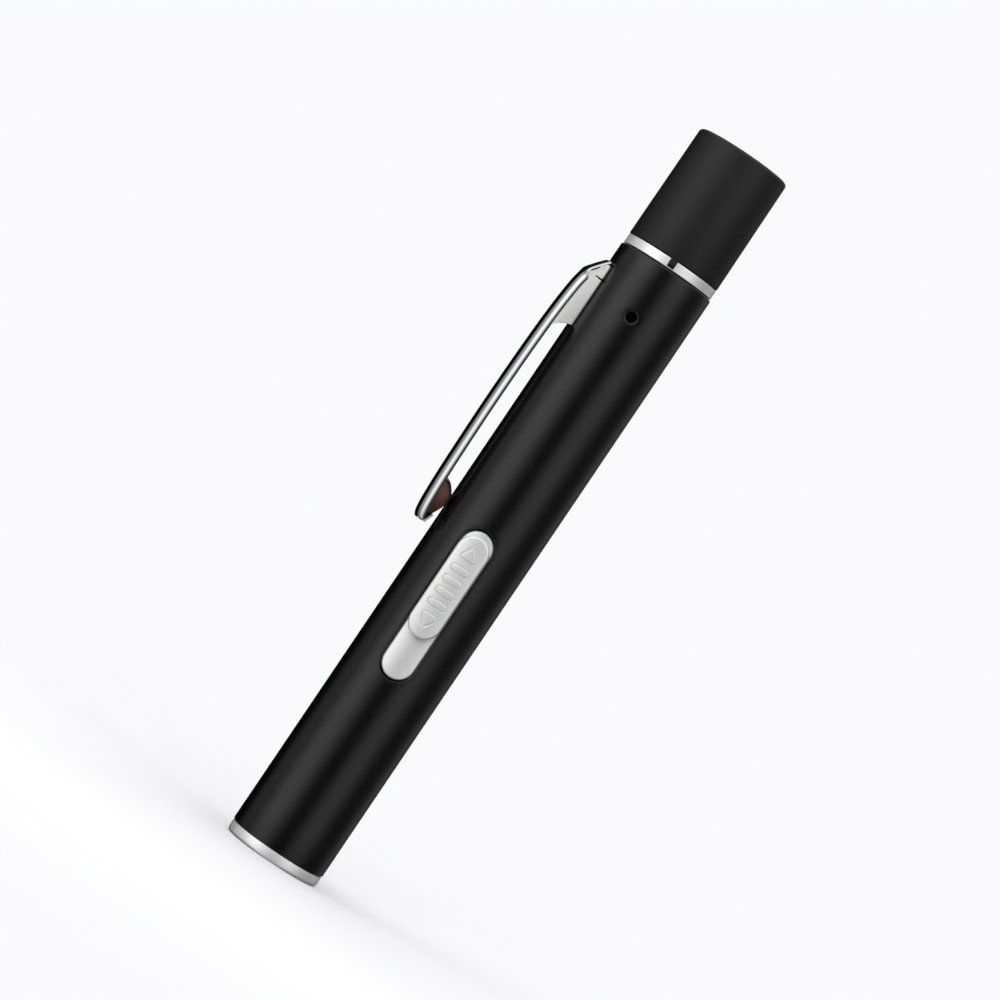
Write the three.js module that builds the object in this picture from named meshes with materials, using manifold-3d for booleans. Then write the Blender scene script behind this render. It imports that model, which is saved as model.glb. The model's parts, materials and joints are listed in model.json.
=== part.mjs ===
// Laser pen flashlight: a tube with a slide switch, a spring clip and a capped charging plug.
// Millimetres. The pen stands on its light end, +Z runs to the cap and the switch faces -Y.
import * as THREE from 'three';
import { mergeVertices } from 'three/addons/utils/BufferGeometryUtils.js';
import Module from 'manifold-3d';

const wasm = await Module();
wasm.setup();

// Facets of the barrel's rounds, of small round pieces, of arcs and of wires
const roundSides = 48;
const smallSides = 24;
const arcSteps = 8;
const wireSides = 8;
const wireSteps = 14;

// Charging plug, whose corners set the girth of cap and barrel
const plugWidth = 12;
const plugHeight = 4.5;
const plugCorner = 0.5;
const plugSheet = 0.3;
const plugLength = 18.7;
const plugExposed = 12;
const plugWindowWidth = 2.4;
const plugWindowHeight = 2;
const plugWindowSpacing = 5.6;
const plugWindowFromEnd = 5.2;
const tongueThickness = 1.9;
const tongueSetBack = 0.6;
const contactWidth = 1;
const contactThickness = 0.25;
const contactPositions = [-3.5, -1, 1, 3.5];
const contactSetBack = 1.4;

// Cap
const capPlugGap = 0.23;
const capWall = 0.87;
const capTaper = 0.1;
const capEndWall = 1.2;
const capEndGap = 1.8;
const capRimRadius = 0.6;
const capSeam = 0.15;
const keyWidth = 0.83;
const keyDrop = 0.95;
const keyThickness = 0.6;
const keyAngle = 4.5;

// Collar between barrel and cap
const collarStep = 0.19;
const collarHeight = 1.55;
const notchGap = 0.15;
const notchStrip = 0.3;

// Plug carrier: two halves that clamp the plug and that the cap grips
const neckRise = 3.05;
const carrierGap = 0.6;

// Barrel
const barrelStep = 0.13;
const barrelWall = 0.9;
const barrelLength = 97.8;
const barrelChamfer = 0.3;

// Clearances shared by fitted pieces
const fitGap = 0.1;
const seatGap = 0.05;
const cutGap = 0.3;

// Light end
const headStep = 0.07;
const headThickness = 1.6;
const headEdge = 0.4;
const spigotLength = 4.4;
const spigotWall = 0.5;
const laserWindow = 3.2;
const holderDepth = 6.4;
const emitterWall = 0.35;
const emitterWeb = 0.5;
const emitterGap = 0.15;

// Lamp and laser
const lampRecess = 0.4;
const lampFlangeHeight = 1;
const lampFlangeLip = 0.3;
const lampLeadSpacing = 2.54;
const lampLeadRadius = 0.25;
const laserSetBack = 0.3;
const laserLength = 11.6;
const laserWall = 0.7;
const laserLip = 0.5;
const laserLipHeight = 0.6;
const lensThickness = 1.1;
const lensEdge = 0.4;
const diodeSetBack = 2.1;
const diodeBaseHeight = 1.2;
const diodeCanRadius = 1.25;
const diodeCanHeight = 2.4;
const laserLeadSpacing = 1.3;
const laserLeadRadius = 0.35;

// Circuit board and what is soldered to it
const boardDrop = 3;
const boardThickness = 1;
const boardWidth = 8.4;
const boardSetBack = 0.8;
const boardLap = 3.7;
const leadRise = 2.7;
const leadLap = 5.7;
const chipLength = 5;
const chipWidth = 4;
const chipHeight = 1.5;
const driverChipFromFront = 9.7;
const chargeChipFromTop = 18;
const chargeLampLength = 1.6;
const chargeLampWidth = 0.8;
const chargeLampHeight = 0.7;
const chargeHole = 2;
const chargeHoleFromTop = 8.4;

// Battery on the far face of the board
const cellLength = 35;
const cellEndGap = 4.6;
const cellGap = 0.2;
const cellNubRadius = 1.6;
const cellNubHeight = 0.6;
const tapeThickness = 0.35;
const tapeWidth = 3;
const tapeInset = 2;
const tabWidth = 3;
const tabThickness = 0.3;
const tabReach = 0.8;
const tabFoot = 2.6;

// Slide switch: bed in the barrel's slot, knob, lever and case
const switchHeight = 41.05;
const bedLength = 24.1;
const bedWidth = 5;
const bedSink = 0.5;
const bedLip = 1.3;
const bedThickness = 0.6;
const slotGap = 0.3;
const knobInset = 0.075;
const knobEndGap = 0.2;
const knobRise = 0.8;
const knobRideGap = 0.15;
const travelUp = 0.7;
const travelDown = 6.6;
const stemLength = 1.4;
const stemWidth = 1.2;
const stemOffset = -0.15;
const stemDepth = 0.55;
const stemGap = 0.3;
const stemSideGap = 0.2;
const forkHeight = 0.9;
const forkFloor = 0.2;
const forkProng = 0.6;
const forkGap = 0.15;
const leverGap = 0.2;
const leverFoot = 0.6;
const caseWall = 1.5;
const caseFloor = 0.35;
const caseWidth = 5;
const markRise = 0.12;
const barCount = 4;
const barWidth = 2.8;
const barHeight = 0.85;
const barPitch = 1.87;
const arrowOffset = 4.55;
const arrowWidth = 2.2;
const arrowHeight = 1.95;

// Pocket clip: an arched strip with a hood, two side plates and a contact bump
const clipAngle = 75;
const clipWidth = 4.6;
const clipSheet = 0.5;
const clipCrown = 0.7;
const clipFromTop = 3.3;
const clipLength = 44.9;
const hoodLength = 2.9;
const hoodTopRise = 0.35;
const hoodOverrun = 1;
const bendRise = 2.65;
const shoulderRise = 3.25;
const shoulderDrop = 3.2;
const crestRise = 3.82;
const noseRise = 3.5;
const noseLength = 4;
const tipRise = 2.65;
const hingeGap = 0.3;
const armStations = 18;
const hoodStations = 4;
const archSteps = 6;
const sideLength = 8.5;
const sideToe = 1;
const sideArmGap = 0.2;
const slitDepth = 1.1;
const slitWidth = 0.3;
const clipSeatGap = 0.12;
const tabLength = 4;
const tabFromSideEnd = 2.2;
const tabFootLength = 1.3;
const bumpWidth = 3.2;
const bumpLength = 6.4;
const bumpFromTip = 0.4;
const bumpApex = 4.4;
const bumpShoulder = 1.7;
const bumpHeel = 1.4;
const bumpRoot = 0.4;
const bumpGap = 0.12;

// Radii, from the plug's corners out
const plugReach = Math.hypot(plugWidth / 2 - plugCorner, plugHeight / 2 - plugCorner) + plugCorner;
const capBore = plugReach + capPlugGap;
const capRadius = capBore + capWall;
const barrelRadius = capRadius + barrelStep;
const boreRadius = barrelRadius - barrelWall;
const headRadius = barrelRadius - headStep;
const collarRadius = barrelRadius - collarStep;
const neckRadius = capBore - fitGap;
const collarBore = neckRadius + fitGap;
const spigotRadius = boreRadius - fitGap;
const holderRadius = spigotRadius - spigotWall - fitGap;
const emitterBore = (holderRadius - emitterWall - emitterWeb / 2) / 2;
const emitterOffset = emitterBore + emitterWeb / 2;
const emitterRadius = emitterBore - emitterGap;
const laserBore = emitterRadius - laserWall;
const bedOuter = boreRadius - fitGap;
const bedInner = bedOuter - bedThickness;
const bedTop = barrelRadius - bedSink;
const knobUnder = bedTop + knobRideGap;
const knobTop = barrelRadius + knobRise;

// Heights, from the light end up
const barrelEnd = headThickness + barrelLength;
const collarTop = barrelEnd + collarHeight;
const capBase = collarTop + capSeam;
const neckTop = collarTop + neckRise;
const plugTop = neckTop + plugExposed;
const plugBase = plugTop - plugLength;
const capTop = plugTop + capEndGap + capEndWall;
const chargeZ = barrelEnd - chargeHoleFromTop;
const carrierBase = chargeZ + chargeHole / 2 + carrierGap;
const holderTop = headThickness + holderDepth;
const laserBase = headThickness + laserSetBack;
const laserTop = laserBase + laserLength;
const boardBase = laserTop + boardSetBack;
const boardTop = plugBase - fitGap * 2;
const boardFace = boardThickness - boardDrop;
const bedZ = headThickness + switchHeight;
const knobLength = bedLength - travelUp - travelDown - knobEndGap * 2;
const knobZ = bedZ + bedLength / 2 - travelUp - knobEndGap - knobLength / 2;
const stemZ = knobZ + stemOffset;
const stemSlotTop = stemZ + travelUp + stemLength / 2 + stemGap;
const stemSlotBase = stemZ - travelDown - stemLength / 2 - stemGap;
const cellTop = carrierBase - cellEndGap;
const cellFloor = boardFace + tapeThickness + seatGap;
const cellRadius = (boreRadius - cellGap - cellFloor) / 2;
const cellY = cellFloor + cellRadius;
const clipTop = barrelEnd - clipFromTop;
const bendZ = clipTop - hoodLength;
const tipZ = clipTop - clipLength;

// Finishes
const blackAnodised = { color: 0x171717, roughness: 0.4, metalness: 0.6 };
const satinSilver = { color: 0xd8d9d8, roughness: 0.3, metalness: 0.9 };
const silverPaint = { color: 0xdfe0e0, roughness: 0.42, metalness: 0.3 };
const chrome = { color: 0xd9dbdc, roughness: 0.08, metalness: 1 };
const blackPlastic = { color: 0x1d1c1d, roughness: 0.55, metalness: 0 };
const whitePlastic = { color: 0xe6e6e2, roughness: 0.5, metalness: 0 };
const clearPlastic = { color: 0xe8eef2, roughness: 0.08, metalness: 0 };
const brass = { color: 0xc6a24c, roughness: 0.28, metalness: 1 };
const nickel = { color: 0xc9c8c2, roughness: 0.25, metalness: 1 };
const gold = { color: 0xd9b25a, roughness: 0.22, metalness: 1 };
const greenBoard = { color: 0x1f5a38, roughness: 0.5, metalness: 0 };
const blueSleeve = { color: 0x27508f, roughness: 0.4, metalness: 0 };
const whiteFoam = { color: 0xd9d7d0, roughness: 0.9, metalness: 0 };
const redWire = { color: 0xb3201d, roughness: 0.5, metalness: 0 };

// A closed geometry as a solid that can be joined and cut
function solid(geometry) {
  geometry.deleteAttribute('normal');
  geometry.deleteAttribute('uv');
  const merged = mergeVertices(geometry, 1e-5);
  const corners = merged.index.array;
  const kept = [];
  for (let i = 0; i < corners.length; i += 3) {
    const [a, b, c] = corners.slice(i, i + 3);
    if (a !== b && b !== c && c !== a) kept.push(a, b, c);
  }
  const vertProperties = merged.attributes.position.array;
  return new wasm.Manifold(new wasm.Mesh({ numProp: 3, vertProperties, triVerts: new Uint32Array(kept) }));
}

// A solid as a geometry
function surface(body) {
  const mesh = body.getMesh();
  const geometry = new THREE.BufferGeometry();
  geometry.setAttribute('position', new THREE.BufferAttribute(mesh.vertProperties, 3));
  geometry.setIndex(new THREE.BufferAttribute(mesh.triVerts, 1));
  geometry.computeVertexNormals();
  return geometry;
}

// Box between two corners
function box(x0, x1, y0, y1, z0, z1) {
  const geometry = new THREE.BoxGeometry(x1 - x0, y1 - y0, z1 - z0);
  return geometry.translate((x0 + x1) / 2, (y0 + y1) / 2, (z0 + z1) / 2);
}

// Round piece about the Z axis, from its [radius, height] outline
function turned(outline, sides = roundSides) {
  const points = outline.map(([radius, height]) => new THREE.Vector2(radius, height));
  return new THREE.LatheGeometry(points, sides).rotateX(Math.PI / 2);
}

// Plain cylinder about the Z axis
function rod(radius, z0, z1, sides = roundSides) {
  return turned([[0, z0], [radius, z0], [radius, z1], [0, z1]], sides);
}

// Tube about the Z axis
function ring(inner, outer, z0, z1) {
  return turned([[inner, z0], [outer, z0], [outer, z1], [inner, z1], [inner, z0]]);
}

// Quarter-round corner of an outline about a centre
function corner(centreRadius, centreHeight, radius, fromDegrees, toDegrees) {
  const points = [];
  for (let step = 0; step <= arcSteps / 2; step += 1) {
    const degrees = THREE.MathUtils.lerp(fromDegrees, toDegrees, (step * 2) / arcSteps);
    const angle = THREE.MathUtils.degToRad(degrees);
    points.push([centreRadius + radius * Math.cos(angle), centreHeight + radius * Math.sin(angle)]);
  }
  return points;
}

// Shape drawn in X and Y, raised between two heights
function raised(shape, z0, z1) {
  const depth = z1 - z0;
  const geometry = new THREE.ExtrudeGeometry(shape, { depth, bevelEnabled: false, curveSegments: arcSteps });
  return geometry.translate(0, 0, z0);
}

// Shape drawn in X and Z, pushed out towards -Y between two distances
function pushed(shape, near, far) {
  return raised(shape, near, far).rotateX(Math.PI / 2);
}

// Closed shape from [x, y] corners
function polygon(corners) {
  return new THREE.Shape(corners.map(([x, y]) => new THREE.Vector2(x, y)));
}

// Upright slot outline with round ends, centred on a height
function stadium(width, length, z) {
  const radius = width / 2;
  const reach = length / 2 - radius;
  const shape = new THREE.Shape();
  shape.absarc(0, z + reach, radius, 0, Math.PI, false);
  shape.absarc(0, z - reach, radius, Math.PI, Math.PI * 2, false);
  return shape;
}

// Rectangle with round corners, centred on the axis
function roundedRectangle(width, height, radius) {
  const x = width / 2 - radius;
  const y = height / 2 - radius;
  const quarter = Math.PI / 2;
  const shape = new THREE.Shape();
  shape.absarc(x, y, radius, 0, quarter, false);
  shape.absarc(-x, y, radius, quarter, quarter * 2, false);
  shape.absarc(-x, -y, radius, quarter * 2, quarter * 3, false);
  shape.absarc(x, -y, radius, quarter * 3, quarter * 4, false);
  return shape;
}

// Round segment above a chord
function segment(radius, chord) {
  const start = Math.asin(chord / radius);
  const shape = new THREE.Shape();
  shape.absarc(0, 0, radius, start, Math.PI - start, false);
  return shape;
}

// Wire of round section through points
function wire(points, radius) {
  const section = new THREE.Shape();
  section.absarc(0, 0, radius, 0, Math.PI * 2, false);
  const extrudePath = new THREE.CatmullRomCurve3(points.map((point) => new THREE.Vector3(...point)));
  const settings = { steps: wireSteps, curveSegments: wireSides / 2, bevelEnabled: false, extrudePath };
  return new THREE.ExtrudeGeometry(section, settings);
}

// Skin through rings of equal count, closed at both ends
function lofted(rings) {
  const count = rings[0].length;
  const positions = rings.flat().flatMap((point) => point.toArray());
  const faces = [];
  for (let row = 0; row + 1 < rings.length; row += 1) {
    for (let column = 0; column < count; column += 1) {
      const next = (column + 1) % count;
      const [a, b] = [row * count + column, row * count + next];
      faces.push(a, b + count, b, a, a + count, b + count);
    }
  }
  const half = count / 2;
  const last = (rings.length - 1) * count;
  for (let column = 0; column + 1 < half; column += 1) {
    const [a, b, c, d] = [column, column + 1, count - 2 - column, count - 1 - column];
    faces.push(a, b, c, a, c, d);
    faces.push(last + a, last + c, last + b, last + a, last + d, last + c);
  }
  const geometry = new THREE.BufferGeometry();
  geometry.setAttribute('position', new THREE.Float32BufferAttribute(positions, 3));
  geometry.setIndex(faces);
  return geometry;
}

const pen = new THREE.Group();

// Add a named piece to the pen or to one of its groups
function piece(name, body, finish, parent = pen) {
  const mesh = new THREE.Mesh(surface(body), new THREE.MeshStandardMaterial(finish));
  mesh.name = name;
  parent.add(mesh);
}

// Arched strip of the clip along a curve in the clip's own radius and height
function archedStrip(curve, stations) {
  const rings = [];
  for (let station = 0; station <= stations; station += 1) {
    const place = curve.getPointAt(station / stations);
    const along = curve.getTangentAt(station / stations);
    const outward = new THREE.Vector3(-along.z, 0, along.x);
    const row = [];
    for (let step = 0; step <= archSteps; step += 1) {
      const share = (step / archSteps) * 2 - 1;
      const drop = -clipCrown * share * share;
      row.push(place.clone().addScaledVector(outward, drop).setY((share * clipWidth) / 2));
    }
    const inner = row.map((point) => point.clone().addScaledVector(outward, -clipSheet));
    rings.push([...row, ...inner.reverse()]);
  }
  return rings;
}

// Curve through [height above the barrel, height up the pen] points of the clip
function clipCurve(points) {
  return new THREE.CatmullRomCurve3(
    points.map(([rise, z]) => new THREE.Vector3(barrelRadius + rise, 0, z)),
    false,
    'centripetal',
  );
}

// Lines of the clip: the arm from the bend to the tip, the hood from barrel to bend
const armCurve = clipCurve([
  [bendRise, bendZ - hingeGap / 2],
  [shoulderRise, bendZ - shoulderDrop],
  [crestRise, (bendZ + tipZ) / 2],
  [noseRise, tipZ + noseLength],
  [tipRise, tipZ],
]);
const hoodSlope = (bendRise - hoodTopRise) / hoodLength;
const hoodCurve = clipCurve([
  [hoodTopRise, clipTop],
  [bendRise + hoodSlope * hoodOverrun, bendZ - hoodOverrun],
]);
const hoodFloor = bendZ + hingeGap / 2;
const armRings = archedStrip(armCurve, armStations);
const clipTurn = THREE.MathUtils.degToRad(270 - clipAngle);
const sideBase = bendZ - sideLength;
const tabBase = sideBase + tabFromSideEnd;
const sideOuter = clipWidth / 2;
const sideInner = sideOuter - clipSheet;

function makeBarrel() {
  const shell = solid(turned([
    [boreRadius, headThickness],
    [barrelRadius - barrelChamfer / 2, headThickness],
    [barrelRadius, headThickness + barrelChamfer / 2],
    [barrelRadius, barrelEnd - barrelChamfer],
    [barrelRadius - barrelChamfer, barrelEnd],
    [boreRadius, barrelEnd],
    [boreRadius, headThickness],
  ]));
  const slot = stadium(bedWidth + slotGap * 2, bedLength + slotGap * 2, bedZ);
  const hole = new THREE.Shape();
  hole.absarc(0, chargeZ, chargeHole / 2, 0, Math.PI * 2, false);
  const through = barrelRadius * 2;
  let body = shell.subtract(solid(pushed(slot, boreRadius / 2, through)));
  body = body.subtract(solid(pushed(hole, boreRadius / 2, through)));
  for (const side of [-1, 1]) {
    const [low, high] = [sideInner - cutGap, sideOuter + cutGap].map((w) => w * side).sort((a, b) => a - b);
    const cutter = box(boreRadius / 2, through, low, high, tabBase - cutGap, tabBase + tabLength + cutGap);
    body = body.subtract(solid(cutter.rotateZ(clipTurn)));
  }
  piece('barrel', body, blackAnodised);
}

function makeHead() {
  const disc = solid(turned([
    [0, 0],
    ...corner(headRadius - headEdge, headEdge, headEdge, -90, 0),
    [headRadius, headThickness],
    [spigotRadius, headThickness],
    [spigotRadius, headThickness + spigotLength],
    [spigotRadius - spigotWall, headThickness + spigotLength],
    [spigotRadius - spigotWall, headThickness],
    [0, headThickness],
  ]));
  const lampHole = rod(emitterBore, -headThickness, holderTop, smallSides);
  const laserHole = rod(laserWindow / 2, -headThickness, holderTop, smallSides);
  const head = disc
    .subtract(solid(lampHole.translate(emitterOffset, 0, 0)))
    .subtract(solid(laserHole.translate(-emitterOffset, 0, 0)));
  piece('head_cap', head, satinSilver);

  const block = solid(rod(holderRadius, headThickness, holderTop));
  const shelf = segment(holderRadius, boardDrop + fitGap);
  const shelfBody = solid(raised(shelf, headThickness, boardBase + boardLap).rotateZ(Math.PI));
  let holder = block.add(shelfBody);
  for (const side of [-1, 1]) {
    const bore = rod(emitterBore, 0, boardBase + boardLap * 2, smallSides);
    holder = holder.subtract(solid(bore.translate(side * emitterOffset, 0, 0)));
  }
  piece('emitter_holder', holder, blackPlastic);
}

function makeLamp() {
  const domeCentre = lampRecess + emitterRadius;
  const lamp = turned([
    ...corner(0, domeCentre, emitterRadius, -90, 0),
    [emitterRadius, holderTop],
    [emitterRadius + lampFlangeLip, holderTop],
    [emitterRadius + lampFlangeLip, holderTop + lampFlangeHeight],
    [0, holderTop + lampFlangeHeight],
  ], smallSides);
  piece('led_lamp', solid(lamp.translate(emitterOffset, 0, 0)), clearPlastic);
  const [back, step] = [holderTop + lampFlangeHeight, lampLeadSpacing / 2];
  makeLead('led_lead_anode', emitterOffset - step, back, lampLeadRadius, nickel);
  makeLead('led_lead_cathode', emitterOffset + step, back, lampLeadRadius, nickel);
}

// Lead from an emitter's back down to the board's face
function makeLead(name, x, back, radius, finish) {
  const rest = boardFace + radius + seatGap;
  const points = [
    [x, 0, back + seatGap],
    [x, 0, boardBase - boardSetBack / 2],
    [x, rest, boardBase + leadRise],
    [x, rest, boardBase + leadLap],
  ];
  piece(name, solid(wire(points, radius)), finish);
}

function makeLaser() {
  const housing = turned([
    [laserBore - laserLip, laserBase],
    [emitterRadius, laserBase],
    [emitterRadius, laserTop],
    [laserBore, laserTop],
    [laserBore, laserBase + laserLipHeight],
    [laserBore - laserLip, laserBase + laserLipHeight],
    [laserBore - laserLip, laserBase],
  ], smallSides);
  piece('laser_housing', solid(housing.translate(-emitterOffset, 0, 0)), brass);

  const lensRadius = laserBore - fitGap;
  const lensMiddle = laserBase + laserLipHeight + seatGap + lensThickness / 2;
  const bulge = (lensThickness - lensEdge) / 2;
  const lensFace = (share, side) => (
    [lensRadius * share, lensMiddle + side * (lensThickness / 2 - bulge * share ** 2)]
  );
  const shares = Array.from({ length: arcSteps / 2 + 1 }, (_, step) => (step * 2) / arcSteps);
  const lens = turned([
    ...shares.map((share) => lensFace(share, -1)),
    ...shares.reverse().map((share) => lensFace(share, 1)),
  ], smallSides);
  piece('laser_lens', solid(lens.translate(-emitterOffset, 0, 0)), clearPlastic);

  const diodeTop = laserTop - diodeSetBack;
  const diodeBase = diodeTop - diodeBaseHeight;
  const diode = turned([
    [0, diodeBase - diodeCanHeight],
    [diodeCanRadius, diodeBase - diodeCanHeight],
    [diodeCanRadius, diodeBase],
    [laserBore - fitGap, diodeBase],
    [laserBore - fitGap, diodeTop],
    [0, diodeTop],
  ], smallSides);
  piece('laser_diode', solid(diode.translate(-emitterOffset, 0, 0)), gold);
  const step = laserLeadSpacing / 2;
  makeLead('laser_lead_red', -emitterOffset - step, diodeTop, laserLeadRadius, redWire);
  makeLead('laser_lead_black', -emitterOffset + step, diodeTop, laserLeadRadius, blackPlastic);
}

function makeBoard() {
  const half = boardWidth / 2;
  piece('circuit_board', solid(box(-half, half, -boardDrop, boardFace, boardBase, boardTop)), greenBoard);
  const chip = (z) => {
    const [halfX, halfZ] = [chipWidth / 2, chipLength / 2];
    return solid(box(-halfX, halfX, -boardDrop - chipHeight, -boardDrop, z - halfZ, z + halfZ));
  };
  piece('driver_chip', chip(boardBase + driverChipFromFront), blackPlastic);
  piece('charge_chip', chip(boardTop - chargeChipFromTop), blackPlastic);
  const lampOut = boardDrop + chargeLampHeight;
  const [lampX, lampZ] = [chargeLampWidth / 2, chargeLampLength / 2];
  const lamp = box(-lampX, lampX, -lampOut, -boardDrop, chargeZ - lampZ, chargeZ + lampZ);
  piece('charge_led', solid(lamp), whitePlastic);
}

function makeBattery() {
  const cellBase = cellTop - cellLength;
  const cell = turned([
    [0, cellBase],
    [cellRadius, cellBase],
    [cellRadius, cellTop],
    [cellNubRadius, cellTop],
    [cellNubRadius, cellTop + cellNubHeight],
    [0, cellTop + cellNubHeight],
  ], smallSides);
  piece('battery_cell', solid(cell.translate(0, cellY, 0)), blueSleeve);
  const tapeTop = boardFace + tapeThickness;
  const tapeHalf = tapeWidth / 2;
  const tape = box(-tapeHalf, tapeHalf, boardFace, tapeTop, cellBase + tapeInset, cellTop - tapeInset);
  piece('battery_tape', solid(tape), whiteFoam);
  makeBatteryTab('battery_positive_tab', cellTop + cellNubHeight + seatGap, 1);
  makeBatteryTab('battery_negative_tab', cellBase - seatGap, -1);
}

// Bent strip from a cell's end down to the board, running away from the cell
function makeBatteryTab(name, z, direction) {
  const floor = boardFace + seatGap;
  const strip = polygon([
    [cellY + tabReach, z],
    [floor, z],
    [floor, z + direction * tabFoot],
    [floor + tabThickness, z + direction * tabFoot],
    [floor + tabThickness, z + direction * tabThickness],
    [cellY + tabReach, z + direction * tabThickness],
  ]);
  const body = pushed(strip, -tabWidth / 2, tabWidth / 2).rotateZ(Math.PI / 2);
  piece(name, solid(body), nickel);
}

function makeSwitch() {
  const clear = barrelRadius * 2;
  const flangeHalf = bedWidth / 2 + bedLip;
  const [flangeBase, flangeTop] = [bedZ - bedLength / 2 - bedLip, bedZ + bedLength / 2 + bedLip];
  const flangeBlock = solid(box(-flangeHalf, flangeHalf, -clear, 0, flangeBase, flangeTop));
  const flange = solid(ring(bedInner, bedOuter, flangeBase, flangeTop)).intersect(flangeBlock);
  const plateau = solid(pushed(stadium(bedWidth, bedLength, bedZ), 0, clear))
    .intersect(solid(ring(bedInner, bedTop, flangeBase, flangeTop)));
  const slotHalf = stemWidth / 2 + stemSideGap;
  const stemSlot = solid(box(-slotHalf, slotHalf, -clear, 0, stemSlotBase, stemSlotTop));
  piece('switch_bed', flange.add(plateau).subtract(stemSlot), silverPaint);
  makeKnob(flangeBase, flangeTop);
  makeLever(slotHalf);
}

function makeKnob(base, top) {
  const clear = barrelRadius * 2;
  const width = bedWidth - knobInset * 2;
  const slab = solid(ring(knobUnder, knobTop, base, top));
  let body = solid(pushed(stadium(width, knobLength, knobZ), 0, clear)).intersect(slab);
  const relief = solid(ring(knobUnder + knobRise / 2, knobTop + markRise, base, top));
  const marks = [];
  for (let bar = 0; bar < barCount; bar += 1) {
    const z = knobZ + (bar - (barCount - 1) / 2) * barPitch;
    marks.push(stadium(barHeight, barWidth, 0).getPoints(arcSteps).map((p) => [p.y, z + p.x]));
  }
  for (const way of [-1, 1]) {
    const foot = knobZ + way * arrowOffset;
    marks.push([[-arrowWidth / 2, foot], [arrowWidth / 2, foot], [0, foot + way * arrowHeight]]);
  }
  for (const mark of marks) {
    body = body.add(solid(pushed(polygon(mark), 0, clear)).intersect(relief));
  }
  const stemEnd = bedInner - leverGap - stemDepth;
  const [x, z] = [stemWidth / 2, stemLength / 2];
  const stem = solid(box(-x, x, -knobUnder - knobRise / 2, -stemEnd, stemZ - z, stemZ + z));
  piece('slider_knob', body.add(stem), silverPaint);
}

function makeLever(slotHalf) {
  const forkOut = bedInner - leverGap;
  const forkIn = forkOut - forkHeight;
  const caseOut = forkIn - leverGap;
  const [x, z] = [stemWidth / 2, stemLength / 2];
  const mouth = z + forkGap;
  const fork = box(-x, x, -forkOut, -forkIn, stemZ - mouth - forkProng, stemZ + mouth + forkProng);
  const gap = box(-x * 2, x * 2, -forkOut * 2, -forkIn - forkFloor, stemZ - mouth, stemZ + mouth);
  const foot = box(-x, x, -forkIn - forkFloor, -boardDrop - leverFoot, stemZ - z, stemZ + z);
  piece('switch_lever', solid(fork).subtract(solid(gap)).add(solid(foot)), blackPlastic);

  const half = caseWidth / 2;
  const shell = box(-half, half, -caseOut, -boardDrop, stemSlotBase - caseWall, stemSlotTop + caseWall);
  const track = box(-slotHalf, slotHalf, -caseOut * 2, -boardDrop - caseFloor, stemSlotBase, stemSlotTop);
  piece('switch_case', solid(shell).subtract(solid(track)), nickel);
}

function makePlug() {
  const seat = plugHeight / 2 + fitGap;
  const upper = raised(segment(neckRadius, seat), carrierBase, neckTop);
  piece('plug_carrier_upper', solid(upper), blackPlastic);
  const lower = solid(raised(segment(neckRadius, seat), carrierBase, neckTop).rotateZ(Math.PI));
  const rebateHalf = boardWidth / 2 + fitGap;
  const rebateFloor = -boardDrop - fitGap;
  const rebate = box(-rebateHalf, rebateHalf, rebateFloor, 0, carrierBase - fitGap, boardTop + fitGap);
  piece('plug_carrier_lower', lower.subtract(solid(rebate)), blackPlastic);

  const [insideWidth, insideHeight] = [plugWidth - plugSheet * 2, plugHeight - plugSheet * 2];
  const section = roundedRectangle(plugWidth, plugHeight, plugCorner);
  section.holes.push(roundedRectangle(insideWidth, insideHeight, plugCorner - plugSheet));
  let shell = solid(raised(section, plugBase, plugTop));
  for (const side of [-1, 1]) {
    const x = (side * plugWindowSpacing) / 2;
    const z = plugTop - plugWindowFromEnd;
    const [halfX, halfZ] = [plugWindowWidth / 2, plugWindowHeight / 2];
    shell = shell.subtract(solid(box(x - halfX, x + halfX, -plugHeight, plugHeight, z - halfZ, z + halfZ)));
  }
  piece('usb_shell', shell, nickel);

  const tongueHalf = insideWidth / 2 - fitGap;
  const tongueFloor = seatGap - insideHeight / 2;
  const tongueFace = tongueFloor + tongueThickness;
  const tongueBase = plugBase + tongueSetBack;
  const tongue = box(-tongueHalf, tongueHalf, tongueFloor, tongueFace, tongueBase, plugTop - tongueSetBack);
  piece('usb_tongue', solid(tongue), whitePlastic);
  contactPositions.forEach((x, index) => makeContact(`usb_contact_${index + 1}`, x, tongueFace));
}

// Flat contact on the tongue, whose tail turns down to the board's end
function makeContact(name, x, face) {
  const tail = boardTop - contactThickness * 2;
  const top = plugTop - contactSetBack;
  const strip = polygon([
    [face, top],
    [face, tail + contactThickness],
    [boardFace + seatGap, tail + contactThickness],
    [boardFace + seatGap, tail],
    [face + contactThickness, tail],
    [face + contactThickness, top],
  ]);
  const body = pushed(strip, x - contactWidth / 2, x + contactWidth / 2).rotateZ(Math.PI / 2);
  piece(name, solid(body), gold);
}

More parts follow.
